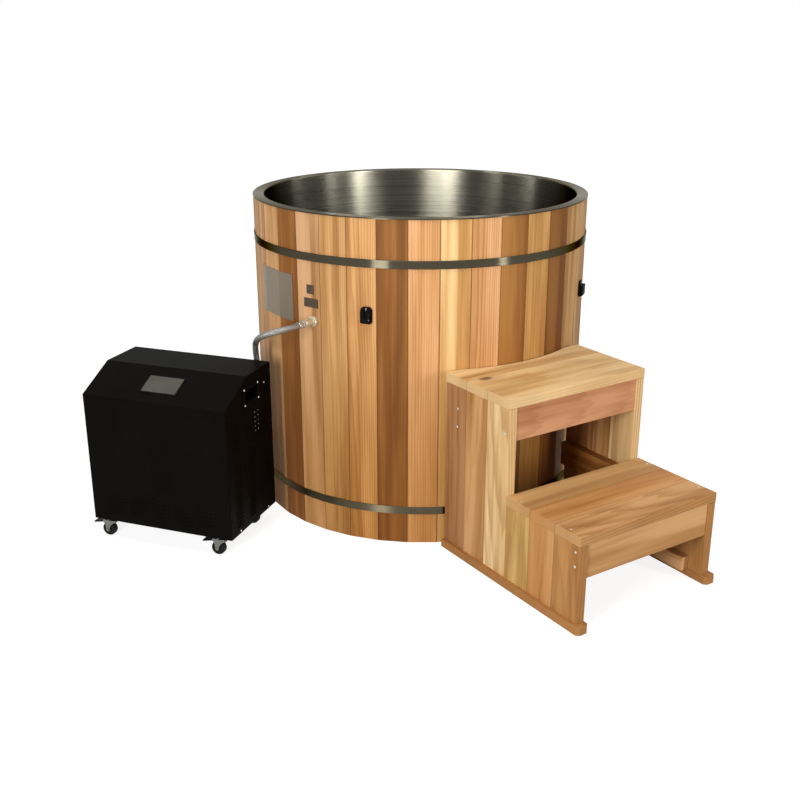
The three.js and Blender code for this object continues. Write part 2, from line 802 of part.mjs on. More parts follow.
add(chiller, 'chiller_panel_left', sidePanelSheet(0, sheet), 'blackSteel');
add(chiller, 'chiller_panel_right', sidePanelSheet(rightInner, chillerWidth), 'blackSteel');
const insideLeft = sheet + seat;
const insideRight = rightInner - seat;
const backInner = chillerDepth - sheet;
const underTop = housingTop - sheet - seat;
const backSheet = block(insideLeft, insideRight, backInner, chillerDepth, housingBottom, underTop);
add(chiller, 'chiller_back', backSheet, 'blackSteel');

// Base pan with the four caster pads under it
const casterSpots = [
  ['front_left', casterInsetX, casterInsetY],
  ['front_right', chillerWidth - casterInsetX, casterInsetY],
  ['back_left', casterInsetX, chillerDepth - casterInsetY],
  ['back_right', chillerWidth - casterInsetX, chillerDepth - casterInsetY],
];
const padBottom = housingBottom - casterPadThickness;
const panTop = housingBottom + panBase;
const panPieces = [block(insideLeft, insideRight, insideLeft, backInner - seat, housingBottom, panTop)];
const kingpinHoles = [];
for (const [, x, y] of casterSpots) {
  const half = casterPadSize / 2;
  panPieces.push(block(x - half, x + half, y - half, y + half, padBottom, housingBottom + panBase / 2));
  const hole = rod('z', kingpinRadius + running, padBottom - panBase, panTop + panBase);
  kingpinHoles.push(hole.translate(x, y, 0));
}
add(chiller, 'chiller_base_pan', cut(join(panPieces), kingpinHoles), 'blackSteel');

// Touchscreen on the slope
const slopeFrame = new THREE.Group();
slopeFrame.position.set(0, 0, slopeBottom);
slopeFrame.rotation.x = Math.atan2(housingTop - slopeBottom, slopeDepth);
chiller.add(slopeFrame);
add(slopeFrame, 'touchscreen', block(screenLeft, screenLeft + screenWidth, screenUpSlope,
  screenUpSlope + screenHeight, seat, seat + screenThickness), 'screen');

// Recessed carrying handles, drawn opening towards +x
function recessedHandle() {
  const halfW = handleCupWidth / 2;
  const halfH = handleCupHeight / 2;
  const flange = block(seat, seat + handleFlangeThickness, -handleFlangeWidth / 2, handleFlangeWidth / 2,
    -handleFlangeHeight / 2, handleFlangeHeight / 2);
  const cup = block(-handleCupDepth, seat + handleFlangeThickness / 2, -halfW, halfW, -halfH, halfH);
  const hollow = block(-handleCupDepth + handleWall, handleCupDepth, -halfW + handleWall, halfW - handleWall,
    -halfH + handleWall, halfH - handleWall);
  return cut(join([flange, cup]), [hollow]);
}

const rightHandle = new THREE.Group();
rightHandle.position.set(chillerWidth, handleY, handleZ);
chiller.add(rightHandle);
add(rightHandle, 'handle_right', recessedHandle(), 'blackPlastic');
const leftHandle = new THREE.Group();
leftHandle.position.set(0, handleY, handleZ);
leftHandle.rotation.z = Math.PI;
chiller.add(leftHandle);
add(leftHandle, 'handle_left', recessedHandle(), 'blackPlastic');

// Water ports on one plate: an upturned return elbow for the hose and a straight supply nipple
const plateBack = chillerDepth + seat;
const plateFront = plateBack + portPlate.thickness;
const elbowY = chillerDepth + portStandOff;
const elbowTop = returnPortZ + portRise;
const supplyPortEnd = plateFront + supplyPortReach;
const portSolid = join([
  block(portPlate.left, portPlate.right, plateBack, plateFront, portPlate.bottom, portPlate.top),
  rod('y', portTubeRadius, plateBack + seat, elbowY).translate(returnPortX, 0, returnPortZ),
  new THREE.SphereGeometry(portTubeRadius, roundSides, 8).translate(returnPortX, elbowY, returnPortZ),
  rod('z', portTubeRadius, returnPortZ, elbowTop).translate(returnPortX, elbowY, 0),
  rod('z', portFerruleRadius, elbowTop - portFerruleLength, elbowTop).translate(returnPortX, elbowY, 0),
  rod('y', portTubeRadius, plateBack + seat, supplyPortEnd).translate(supplyPortX, 0, supplyPortZ),
]);
const portBores = [
  rod('z', portBore, returnPortZ, elbowTop + portBore).translate(returnPortX, elbowY, 0),
  rod('y', portBore, plateFront, plateFront + 2 * supplyPortReach).translate(supplyPortX, 0, supplyPortZ),
];
add(chiller, 'port_block', cut(portSolid, portBores), 'brass');

const inletBody = block(mainsInlet.x - mainsInlet.width / 2, mainsInlet.x + mainsInlet.width / 2, plateBack,
  plateBack + mainsInlet.depth, mainsInlet.z - mainsInlet.height / 2, mainsInlet.z + mainsInlet.height / 2);
const inletRecess = block(
  mainsInlet.x - mainsInlet.width / 2 + mainsInlet.wall,
  mainsInlet.x + mainsInlet.width / 2 - mainsInlet.wall,
  plateBack + mainsInlet.depth - mainsInlet.recess,
  plateBack + 2 * mainsInlet.depth,
  mainsInlet.z - mainsInlet.height / 2 + mainsInlet.wall,
  mainsInlet.z + mainsInlet.height / 2 - mainsInlet.wall,
);
add(chiller, 'mains_inlet', cut(inletBody, [inletRecess]), 'blackPlastic');

// Refrigeration works on the base pan
const worksBottom = panTop + seat;
const fanCentreY = chillerDepth / 2;
const coilRight = condenser.left + condenser.width;
const motorRight = coilRight + fanMotorLength;
const shaftRight = motorRight + fanShaftLength;
const condenserSolid = join([
  block(condenser.left, coilRight, condenser.margin, chillerDepth - condenser.margin,
    worksBottom, worksBottom + condenser.height),
  rod('x', fanMotorRadius, coilRight - sheet, motorRight, turnedSides).translate(0, fanCentreY, fanCentreZ),
  rod('x', fanShaftRadius, motorRight - sheet, shaftRight).translate(0, fanCentreY, fanCentreZ),
]);
add(chiller, 'condenser', condenserSolid, 'copper');

const fanFrame = new THREE.Group();
fanFrame.position.set(motorRight + fanHubGap, fanCentreY, fanCentreZ);
chiller.add(fanFrame);
const fanPieces = [rod('x', fanHubRadius, 0, fanHubLength, turnedSides)];
for (let i = 0; i < fanBladeCount; i += 1) {
  const blade = block(-fanBladeThickness / 2, fanBladeThickness / 2, -fanBladeChord / 2, fanBladeChord / 2,
    fanHubRadius / 2, fanBladeTip);
  blade.rotateZ(rad(fanBladePitch)).translate(fanHubLength / 2, 0, 0);
  fanPieces.push(blade.rotateX((2 * Math.PI * i) / fanBladeCount));
}
const fanBore = rod('x', fanShaftRadius + running, -fanHubLength, 2 * fanHubLength);
add(fanFrame, 'fan_rotor', cut(join(fanPieces), [fanBore]), 'blackPlastic');

const compressorTop = worksBottom + compressor.height;
add(chiller, 'compressor', turnedAlongZ([
  [0, worksBottom],
  [compressor.radius, worksBottom],
  [compressor.radius, compressorTop - compressor.dome],
  [compressor.radius * 0.8, compressorTop - compressor.dome / 3],
  [compressor.radius * 0.35, compressorTop],
  [0, compressorTop],
], turnedSides).translate(compressor.x, compressor.y, 0), 'blackSteel');

const exchangerTop = worksBottom + exchanger.height;
add(chiller, 'heat_exchanger', turnedAlongZ([
  [0, worksBottom],
  [exchanger.capRadius, worksBottom],
  [exchanger.capRadius, worksBottom + exchanger.cap],
  [exchanger.radius, worksBottom + exchanger.cap],
  [exchanger.radius, exchangerTop - exchanger.cap],
  [exchanger.capRadius, exchangerTop - exchanger.cap],
  [exchanger.capRadius, exchangerTop],
  [0, exchangerTop],
], turnedSides).translate(exchanger.x, exchanger.y, 0), 'blackPlastic');

// Casters: the fork turns on a kingpin in the pan, the wheel on the fork's axle
const legInner = wheelWidth / 2 + wheelSide;
const legOuter = legInner + forkPlate;

function casterFork(braked) {
  const leg = [
    [-wheelTrail - legFoot, wheelRadius - legFoot],
    [-wheelTrail + legFoot, wheelRadius - legFoot],
    [forkHalfLength, forkTop - forkPlate],
    [forkHalfLength, forkTop],
    [braked ? pedalPinX - legFoot / 2 : -wheelTrail - legFoot, forkTop],
    [braked ? pedalPinX - legFoot / 2 : -wheelTrail - legFoot, pedalPinZ - legFoot],
  ];
  const raceTop = padBottom - running;
  const axleHalf = legOuter + wheelSide;
  const pieces = [
    pushedAlongY(leg, -legOuter, -legInner),
    pushedAlongY(leg, legInner, legOuter),
    block(-forkHalfLength, forkHalfLength, -legOuter, legOuter, forkTop - forkPlate, forkTop),
    rod('y', axleRadius, -axleHalf, axleHalf, 10).translate(-wheelTrail, 0, wheelRadius),
    rod('z', raceRadius, forkTop - forkPlate / 2, raceTop),
    rod('z', kingpinRadius, forkTop, panTop, 10),
  ];
  if (braked) {
    pieces.push(rod('y', pedalPinRadius, -legOuter, legOuter, 8).translate(pedalPinX, 0, pedalPinZ));
  }
  return join(pieces);
}

function casterWheel() {
  const half = wheelWidth / 2;
  const bore = axleRadius + running;
  return turnedAlongX([
    [-half, bore],
    [-half, wheelRadius - wheelSide],
    [-half + wheelSide, wheelRadius],
    [half - wheelSide, wheelRadius],
    [half, wheelRadius - wheelSide],
    [half, bore],
  ], 24).rotateZ(Math.PI / 2);
}

function brakePedal() {
  const tipX = -pedalLength;
  const arm = [
    [0, -pedalThickness / 2],
    [0, pedalThickness / 2],
    [tipX, -pedalDrop + pedalThickness / 2],
    [tipX, -pedalDrop - pedalThickness / 2],
  ];
  const hubHalf = legInner - running;
  const neck = -pedalHubRadius * 2;
  const neckDrop = (pedalDrop * neck) / pedalLength;
  const widePart = arm.map(([x, z]) => (x === 0 ? [neck, z + neckDrop] : [x, z]));
  const pedal = join([
    rod('y', pedalHubRadius, -hubHalf, hubHalf, 10),
    pushedAlongY(arm, -hubHalf, hubHalf),
    pushedAlongY(widePart, -pedalWidth / 2, pedalWidth / 2),
  ]);
  return cut(pedal, [rod('y', pedalPinRadius + running, -pedalWidth, pedalWidth, 8)]);
}

for (const [spot, x, y] of casterSpots) {
  const frame = new THREE.Group();
  frame.position.set(x, y, 0);
  chiller.add(frame);
  const braked = spot.startsWith('front');
  add(frame, `caster_fork_${spot}`, casterFork(braked), 'zinc');
  const wheelFrame = new THREE.Group();
  wheelFrame.position.set(-wheelTrail, 0, wheelRadius);
  frame.add(wheelFrame);
  add(wheelFrame, `caster_wheel_${spot}`, casterWheel(), 'blackPlastic');
  if (braked) {
    const pedalFrame = new THREE.Group();
    pedalFrame.position.set(pedalPinX, 0, pedalPinZ);
    frame.add(pedalFrame);
    add(pedalFrame, `brake_pedal_${spot}`, brakePedal(), 'blackPlastic');
  }
}

// Return hose from the inlet's ferrule over the chiller's back edge and down to the return elbow
function buildPoint(frame, x, y, z) {
  frame.updateWorldMatrix(true, false);
  return new THREE.Vector3(x, y, z).applyMatrix4(frame.matrixWorld);
}

const hoseStart = ferruleEnd + seat;
const hoseFoot = elbowTop + seat;
const hoseCurve = new THREE.CatmullRomCurve3([
  buildPoint(inletFrame, hoseStart, 0, 0),
  buildPoint(inletFrame, hoseStart + hoseStraightRun, 0, 0),
  ...hosePoints.map((point) => new THREE.Vector3(...point)),
  buildPoint(chiller, returnPortX, elbowY, hoseFoot + hoseStraightRun),
  buildPoint(chiller, returnPortX, elbowY, hoseFoot),
], false, 'centripetal');
const hose = new THREE.ExtrudeGeometry(outline(ring(hoseDiameter / 2, hoseSides)), {
  steps: hoseSteps,
  bevelEnabled: false,
  extrudePath: hoseCurve,
});
add(group, 'return_hose', hose, 'braid');

export default group;
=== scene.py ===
from itertools import pairwise
from math import atan2, cos, degrees, inf, pi, radians, sin, sqrt, tan

import bmesh
import bpy
from mathutils import Matrix, Vector


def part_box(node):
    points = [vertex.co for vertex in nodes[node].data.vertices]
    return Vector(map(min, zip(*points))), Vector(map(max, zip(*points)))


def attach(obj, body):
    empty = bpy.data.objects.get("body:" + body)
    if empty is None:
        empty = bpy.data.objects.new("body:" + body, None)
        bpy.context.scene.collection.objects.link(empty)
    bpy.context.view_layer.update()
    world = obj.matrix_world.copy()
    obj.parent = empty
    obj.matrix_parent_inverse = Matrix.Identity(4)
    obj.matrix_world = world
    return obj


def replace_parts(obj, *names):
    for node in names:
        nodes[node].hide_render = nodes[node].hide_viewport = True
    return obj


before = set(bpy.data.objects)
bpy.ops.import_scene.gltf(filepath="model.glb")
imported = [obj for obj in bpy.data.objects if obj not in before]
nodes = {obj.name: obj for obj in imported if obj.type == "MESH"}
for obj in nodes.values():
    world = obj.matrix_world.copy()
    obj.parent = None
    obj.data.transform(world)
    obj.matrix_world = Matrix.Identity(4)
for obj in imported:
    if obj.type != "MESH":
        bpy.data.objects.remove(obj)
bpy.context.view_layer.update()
ROOT = "tub"

# Sizes in metres, as in the CAD model
SEAT = 0.0003
TUB_RADIUS = 0.495
TUB_HEIGHT = 0.92
STAVE_COUNT = 37
STAVE_THICKNESS = 0.027
STAVE_ANGLE = 2 * pi / STAVE_COUNT
STAVE_WIDTH = 2 * TUB_RADIUS * sin(STAVE_ANGLE / 2)
FIRST_SEAM = radians(-28.1)
WALL_FLAT = TUB_RADIUS * cos(STAVE_ANGLE / 2)
PANEL_STARTS = [-9, 0, 9, 18, 28]
LINER_SHEET = 0.0025
LINER_OUTER = WALL_FLAT - STAVE_THICKNESS - SEAT
LINER_INNER = LINER_OUTER - LINER_SHEET
LINER_FLOOR = 0.0986
HOOP_WIDTH = 0.022
HOOP_SHEET = 0.0018
UPPER_HOOP_HEIGHT = 0.800
LOWER_HOOP_HEIGHT = 0.100
LUG_STAVE = 20
LUG_REACH = 0.014
LUG_LENGTH = 0.012
LUG_SPACING = 0.018
BOLT_RADIUS = 0.004
BOLT_HEAD_RADIUS = 0.0065
BOLT_HEAD_LENGTH = 0.006
LATCH_STAVES = [-3, 6, 15, 25]
LATCH_OFFSET = 0.0145
LATCH_HEIGHT = 0.660
FLANGE_RADIUS = 0.022
FLANGE_THICKNESS = 0.005
INLET_STAVE = -5
INLET_OFFSET = 0.0205
INLET_HEIGHT = 0.625
INLET_REACH = 0.045
FERRULE_LENGTH = 0.0215
OUTLET_STAVE = -8
OUTLET_HEIGHT = 0.200
OUTLET_REACH = 0.048
CHILLER_CORNER = Vector((-1.0279, 0.1247, 0))
CHILLER_TURN = radians(-52.97)
CHILLER_WIDTH = 0.437
CHILLER_DEPTH = 0.268
SLOPE_BOTTOM = 0.4354
HOUSING_TOP = 0.4949
SLOPE_DEPTH = 0.127
SCREEN_WIDTH = 0.105
SCREEN_HEIGHT = 0.061
SCREEN_LEFT = 0.164
SCREEN_UP_SLOPE = 0.0385
MAINS_X = 0.092
MAINS_Z = 0.118
STEP_CENTRE_X = 0.0073
STEP_BACK_Y = -0.461
STEP_WIDTH = 0.465
UPPER_DEPTH = 0.267
LOWER_DEPTH = 0.279
LOWER_TREAD_TOP = 0.2545
BOARDS = 3
CASTER_INSET_X = 0.042
CASTER_INSET_Y = 0.031
AXLE_TRAIL = 0.017
AXLE_HEIGHT = 0.020
FORK_TOP = 0.050
PEDAL_PIN_X = -0.028
PEDAL_PIN_Z = 0.0445

# The hose's line from the inlet ferrule to the chiller's return elbow
HOSE_DIAMETER = 0.017
HOSE_POINTS = [
    (-0.52617, -0.19371, 0.625),
    (-0.53472, -0.19651, 0.625),
    (-0.5639, -0.2015, 0.6242),
    (-0.5853, -0.1981, 0.6209),
    (-0.6043, -0.1874, 0.6152),
    (-0.6181, -0.1707, 0.6067),
    (-0.6244, -0.1507, 0.5942),
    (-0.6226, -0.1336, 0.5814),
    (-0.617, -0.118, 0.5714),
    (-0.6084, -0.0994, 0.564),
    (-0.5992, -0.0813, 0.5605),
    (-0.5903, -0.0643, 0.5575),
    (-0.5818, -0.046, 0.5516),
    (-0.5741, -0.0264, 0.5396),
    (-0.5679, -0.0113, 0.5224),
    (-0.5628, -0.0024, 0.5035),
    (-0.5589, 0.0022, 0.4823),
    (-0.5567, 0.0035, 0.4603),
    (-0.5559, 0.003, 0.4384),
    (-0.5559, 0.002, 0.4141),
    (-0.55605, 0.00152, 0.3873),
    (-0.55605, 0.00152, 0.3783),
]


def linear(code):
    """A colour written as hex, in the renderer's linear values."""
    channels = [int(code[i:i + 2], 16) / 255 for i in (0, 2, 4)]
    return tuple(c / 12.92 if c <= 0.04045 else ((c + 0.055) / 1.055) ** 2.4 for c in channels)


def add_object(name, data):
    thing = bpy.data.objects.new(name, data)
    bpy.context.scene.collection.objects.link(thing)
    return thing


# Camera at the photograph's view
CAMERA_PLACE = (-1.801832, -2.633026, 1.393393)
CAMERA_HEADING = (0.5492469, 0.8356601)
CAMERA_PITCH = 0.34331
camera_data = bpy.data.cameras.new("camera")
camera_data.lens = 47.649
camera_data.sensor_width = 36
camera = add_object("camera", camera_data)
camera.location = CAMERA_PLACE
camera.rotation_euler = (pi / 2 - CAMERA_PITCH, 0, -atan2(*CAMERA_HEADING))
bpy.context.scene.camera = camera


class Value:
    """The outcome of a node, with arithmetic that adds more nodes."""

    def __init__(self, tree, socket):
        self.tree = tree
        self.socket = socket

    def __add__(self, other):
        return self.tree.math("ADD", self, other)

    def __sub__(self, other):
        return self.tree.math("SUBTRACT", self, other)

    def __rsub__(self, other):
        return self.tree.math("SUBTRACT", other, self)

    def __mul__(self, other):
        return self.tree.math("MULTIPLY", self, other)

    def __truediv__(self, other):
        return self.tree.math("DIVIDE", self, other)


class Tree:
    """The emptied node tree of a material or the world, with short calls for its nodes."""

    def __init__(self, owner):
        owner.use_nodes = True
        self.nodes = owner.node_tree.nodes
        self.links = owner.node_tree.links
        self.nodes.clear()

    def put(self, socket, value):
        if isinstance(value, Value):
            self.links.new(value.socket, socket)
        elif socket.type == "RGBA" and len(value) == 3:
            socket.default_value = (*value, 1)
        else:
            socket.default_value = value

    def node(self, kind, *values, **settings):
        """Adds a node with its settings, and with values on its first sockets."""
        node = self.nodes.new(f"ShaderNode{kind}")
        for name, setting in settings.items():
            setattr(node, name, setting)
        for socket, value in zip(node.inputs, values):
            self.put(socket, value)
        return node

    def out(self, node, socket=0):
        return Value(self, node.outputs[socket])

    def math(self, kind, *values):
        return self.out(self.node("Math", *values, operation=kind))


class Surface(Tree):
    """A material of one shader, with short calls for textures, colours and relief."""

    def __init__(self, name, **values):
        self.material = bpy.data.materials.new(name)
        super().__init__(self.material)
        self.output = self.node("OutputMaterial")
        self.shader = self.node("BsdfPrincipled")
        self.put(self.output.inputs[0], self.out(self.shader))
        for key, value in values.items():
            self.feed(key, value)

    def feed(self, name, value):
        self.put(self.shader.inputs[name], value)

    def place(self, kind="Object"):
        return self.out(self.node("TexCoord"), kind)

    def split(self, vector):
        return [Value(self, socket) for socket in self.node("SeparateXYZ", vector).outputs]

    def join(self, x, y, z):
        return self.out(self.node("CombineXYZ", x, y, z))

    def length(self, a, b):
        return self.math("SQRT", a * a + b * b)

    def noise(self, vector, scale, detail=2.0, roughness=0.5):
        node = self.node("TexNoise", vector)
        for name, number in (("Scale", scale), ("Detail", detail), ("Roughness", roughness)):
            node.inputs[name].default_value = number
        return self.out(node, "Fac")

    def chance(self, value):
        node = self.node("TexWhiteNoise", noise_dimensions="1D")
        self.put(node.inputs["W"], value)
        return self.split(self.out(node, "Color"))

    def span(self, value, low, high, to_low=0.0, to_high=1.0, smooth=True):
        kind = "SMOOTHSTEP" if smooth else "LINEAR"
        return self.out(self.node("MapRange", value, low, high, to_low, to_high, interpolation_type=kind))

    def mix(self, factor, a, b, blend="MIX"):
        node = self.node("Mix", factor, data_type="RGBA", blend_type=blend)
        self.put(node.inputs[6], a)
        self.put(node.inputs[7], b)
        return self.out(node, 2)

    def shaded(self, colour, shade):
        return self.mix(1.0, colour, self.join(shade, shade, shade), "MULTIPLY")

    def steps(self, factor, colours):
        node = self.node("ValToRGB", factor)
        ramp = node.color_ramp
        ramp.interpolation = "CONSTANT"
        while len(ramp.elements) < len(colours):
            ramp.elements.new(0.999)
        for i, colour in enumerate(colours):
            ramp.elements[i].position = i / len(colours)
            ramp.elements[i].color = (*colour, 1)
        return self.out(node)

    def bump(self, height, strength, distance):
        node = self.node("Bump")
        for name, value in (("Strength", strength), ("Distance", distance), ("Height", height)):
            self.put(node.inputs[name], value)
        self.feed("Normal", self.out(node))


# Wood: growth rings about a pith line beside each board, streaks, and fine fibre
TONES = {
    "salmon": ("eab480", "d29a62"),
    "rose": ("e6b688", "c49262"),
    "pale": ("f0ca90", "d8a666"),
    "golden": ("dea86c", "bc8448"),
    "tan": ("e2b07a", "bc8850"),
    "honey": ("d8a666", "b88548"),
    "sand": ("cda06a", "a97b42"),
    "brown": ("a46d36", "84501c"),
    "dark": ("98642c", "734618"),
    "mauve": ("b08054", "946239"),
    "straw": ("e8c48e", "cfa56c"),
    "cream": ("f2d4a2", "dcb67e"),
    "board": ("d0a06a", "b2804a"),
    "orange": ("cc965e", "b27a42"),
    "blush": ("d0986e", "bd835a"),
    "shade": ("d2a46a", "b28450"),
    "amber": ("bc8850", "a06e3a"),
    "umber": ("b07c46", "94632f"),
    "wheat": ("d6af6e", "b28748"),
    "ochre": ("b07a3c", "905f28"),
    "peach": ("dcac7e", "ba8a5a"),
    "bisque": ("d6a46c", "b07e46"),
}
DARKER = (0.58, 0.44, 0.32)
# Painted shade: the colour that darkens the staves towards the bottom
BOTTOM_SHADE = (0.79, 0.70, 0.50)
# Cells per metre across and along a board, then the noise's detail and roughness
WANDER = (6.0, 1.7)
RING_WAVE = (60.0, 3.0)
CLOUD = (26.0, 1.3, 3.0)
STREAK = (46.0, 1.1, 3.0, 0.55)
FIBRE = (900.0, 9.0, 3.0, 0.6)
# What gives each board noise and random draws of its own
BOARD_SHIFT = 3.7
FIRST_DRAW = 11.3
SECOND_DRAW = 47.9
# The pith's range beside a board's middle, and its least depth and range of depth
PITH_SIDE = 0.13
PITH_DEPTH = 0.012
PITH_DEPTH_RANGE = 0.055
# A knot's colour, the radii between which its core and swirl fade, its rings per metre and its stretch
KNOT = linear("6b4726")
KNOT_CORE = (0.006, 0.017)
KNOT_SWIRL = (0.014, 0.048)
KNOT_RINGS = 420.0
KNOT_STRETCH = 0.6


def wood(tree, across, along, depth, index, count, tones, rings=190.0, contrast=0.75, streaks=0.9, seed=0.0,
         seam=None, knot=None, end_axis=None, painted_shade=None, lean=0.10, drift=0.030, beside=None):
    """Feeds a board's colour, roughness and relief from its own coordinates, in metres.

    seam is 1 on the board and lower in its joints, knot is an (across, along) place in board 1,
    sawn ends face end_axis and have a fainter figure, the argument after end_axis says how far painted shade
    darkens it, lean and drift how far the grain runs out of line, and beside gives some boards a second
    tone.
    """
    shift = index * BOARD_SHIFT

    def figure(across_scale, along_scale, detail=2.0, roughness=0.5):
        spot = tree.join(across * across_scale, along * along_scale, shift)
        return tree.noise(spot, 1.0, detail, roughness)

    if end_axis:
        normal = tree.split(tree.out(tree.node("NewGeometry"), "Normal"))
        face = tree.math("ABSOLUTE", normal["xyz".index(end_axis)])
        faint = tree.span(face, 0.6, 0.9, 1.0, 0.15)
    first = tree.chance(index + (FIRST_DRAW + seed))
    second = tree.chance(index + (SECOND_DRAW + seed))
    slow = figure(*WANDER)
    side = (first[0] - 0.5) * PITH_SIDE + (slow - 0.5) * drift
    under = first[2] * PITH_DEPTH_RANGE + PITH_DEPTH
    tilt = (first[1] - 0.5) * lean
    radius = tree.length(across - side, depth + under + along * tilt)
    turn = radius * rings + figure(*RING_WAVE) * 0.9
    if knot:
        away = tree.length(across - knot[0], (along - knot[1]) * KNOT_STRETCH)
        own = tree.math("COMPARE", index, 1.0, 0.1)
        swirl = own * tree.span(away, *KNOT_SWIRL, 1.0, 0.0)
        core = own * tree.span(away, *KNOT_CORE, 0.85, 0.0)
        turn = turn + swirl * (away * KNOT_RINGS - turn)
    ring = tree.math("FRACT", turn)
    late = tree.span(ring, 0.35, 0.9) * tree.span(ring, 0.92, 1.0, 1.0, 0.0)
    fibre = figure(*FIBRE)
    streak = figure(*STREAK)
    cloud = figure(*CLOUD) + (second[2] - 0.5) * (across * 6.0)
    if end_axis:
        cloud = (cloud - 0.45) * faint + 0.45
    cloud_share = tree.span(cloud, 0.36, 0.64)
    factor = (index + 0.5) / float(count)

    def toned(names):
        pale, deep = ([linear(TONES[name][i]) for name in names] for i in (0, 1))
        return tree.mix(cloud_share, tree.steps(factor, pale), tree.steps(factor, deep))

    base = toned(tones)
    if beside:
        width, others = beside
        pairs = [others.get(i, (tone, 0.5)) for i, tone in enumerate(tones)]
        begin = tree.split(tree.steps(factor, [(start, start, start) for _, start in pairs]))[0]
        share = across / width + slow * 0.2
        over = tree.span(share + 0.4 - begin, -0.04, 0.04)
        base = tree.mix(over, base, toned([tone for tone, _ in pairs]))
    deep = tree.mix(1.0, base, DARKER, "MULTIPLY")
    amount = tree.span(streak, 0.54, 0.74) * (second[0] * streaks)
    if end_axis:
        late = late * faint
        amount = amount * faint
    base = tree.mix(amount, base, deep)
    base = tree.mix(late * (second[1] * contrast + 0.12), base, deep)
    if knot:
        base = tree.mix(swirl * 0.35, base, deep)
        base = tree.mix(core, base, KNOT)
    # Painted shade: the board is darkened where the given mask is high
    if painted_shade:
        base = tree.mix(painted_shade, base, tree.mix(1.0, base, BOTTOM_SHADE, "MULTIPLY"))
    grain = fibre * 0.36 + 0.82
    if end_axis:
        grain = grain * tree.span(face, 0.6, 0.9, 1.0, 0.92)
    if seam:
        grain = grain * seam
    tree.feed("Base Color", tree.shaded(base, grain))
    tree.feed("Specular IOR Level", 0.2)
    tree.feed("Roughness", tree.span(fibre, 0.2, 0.8, 0.52, 0.68, False))
    tree.bump(fibre + late * -0.6, 0.16, 0.0006)


STAVE_TONES = [
    "sand rose tan brown peach bisque golden brown salmon".split(),
    "pale salmon ochre honey dark sand sand brown tan".split(),
    "salmon brown pale tan dark golden rose tan brown".split(),
    "golden tan salmon dark pale tan brown rose golden tan".split(),
]
# The staves of two tones, with the share of the width where the second begins
SECOND_TONES = [
    {7: ("dark", 0.62)},
    {0: ("honey", 0.56), 2: ("brown", 0.66)},
    {2: ("honey", 0.55), 5: ("brown", 0.70)},
    {1: ("brown", 0.66), 4: ("golden", 0.45), 8: ("honey", 0.60)},
]
# Heights between which the staves' painted shade, darker towards the bottom, fades out
SHADE_BOTTOM = 0.12
SHADE_TOP = 0.70


def stave_wood(panel):
    """Upright staves: the board is found from the azimuth about the tub's axis."""
    first, stop = PANEL_STARTS[panel:panel + 2]
    tree = Surface(f"cedar_staves_{panel + 1}")
    x, y, z = tree.split(tree.place())
    azimuth = tree.math("ARCTAN2", x, y * -1.0)
    start = FIRST_SEAM + first * STAVE_ANGLE
    place = tree.math("FLOORED_MODULO", azimuth - start, 2 * pi) / STAVE_ANGLE
    index = tree.math("FLOOR", place)
    across = (tree.math("FRACT", place) - 0.5) * STAVE_WIDTH
    depth = TUB_RADIUS - tree.length(x, y)
    edge = STAVE_WIDTH / 2 - tree.math("ABSOLUTE", across)
    seam = tree.span(edge, 0.0004, 0.0019, 0.45, 1.0)
    # Painted shade, darkest at the bottom of the staves and fading out upwards
    painted_shade = tree.span(z, SHADE_BOTTOM, SHADE_TOP, 1.0, 0.0)
    wood(tree, across, z, depth, index, stop - first, STAVE_TONES[panel], seed=23.0 * panel, seam=seam,
         painted_shade=painted_shade, lean=0.035, drift=0.016, beside=(STAVE_WIDTH, SECOND_TONES[panel]))
    return tree.material


def board_wood(name, across_axis, along_axis, edges, tones, **more):
    """Straight boards side by side along one axis, split at the given edges."""
    tree = Surface(name)
    parts = dict(zip("xyz", tree.split(tree.place())))
    spot = parts[across_axis]
    along = parts[along_axis]
    depth = parts[({"x", "y", "z"} - {across_axis, along_axis}).pop()]
    middles = [(a + b) / 2 for a, b in pairwise(edges)]
    index = 0.0
    centre = middles[0]
    seam = None
    for i, edge in enumerate(edges[1:-1]):
        gap = tree.span(tree.math("ABSOLUTE", spot - edge), 0.0003, 0.0013, 0.55, 1.0)
        seam = seam * gap if seam else gap
        past = tree.math("GREATER_THAN", spot, edge)
        index = past + index
        centre = past * (middles[i + 1] - middles[i]) + centre
    wood(tree, spot - centre, along, depth, index, len(tones), tones, seam=seam, end_axis=along_axis, **more)
    return tree.material


def spread(start, end, count):
    return [start + (end - start) * i / count for i in range(count + 1)]


# Metals, paints and plastics
# Painted shade in reflections: EDGE_TINT tints the steel's grazing reflections dark, RIM_TINT less dark on
# the liner's rim top
EDGE_TINT = (0.30, 0.29, 0.25)
RIM_TINT = (0.62, 0.58, 0.50)
RIM_FROM = TUB_HEIGHT - 0.006
RIM_TO = TUB_HEIGHT - 0.001


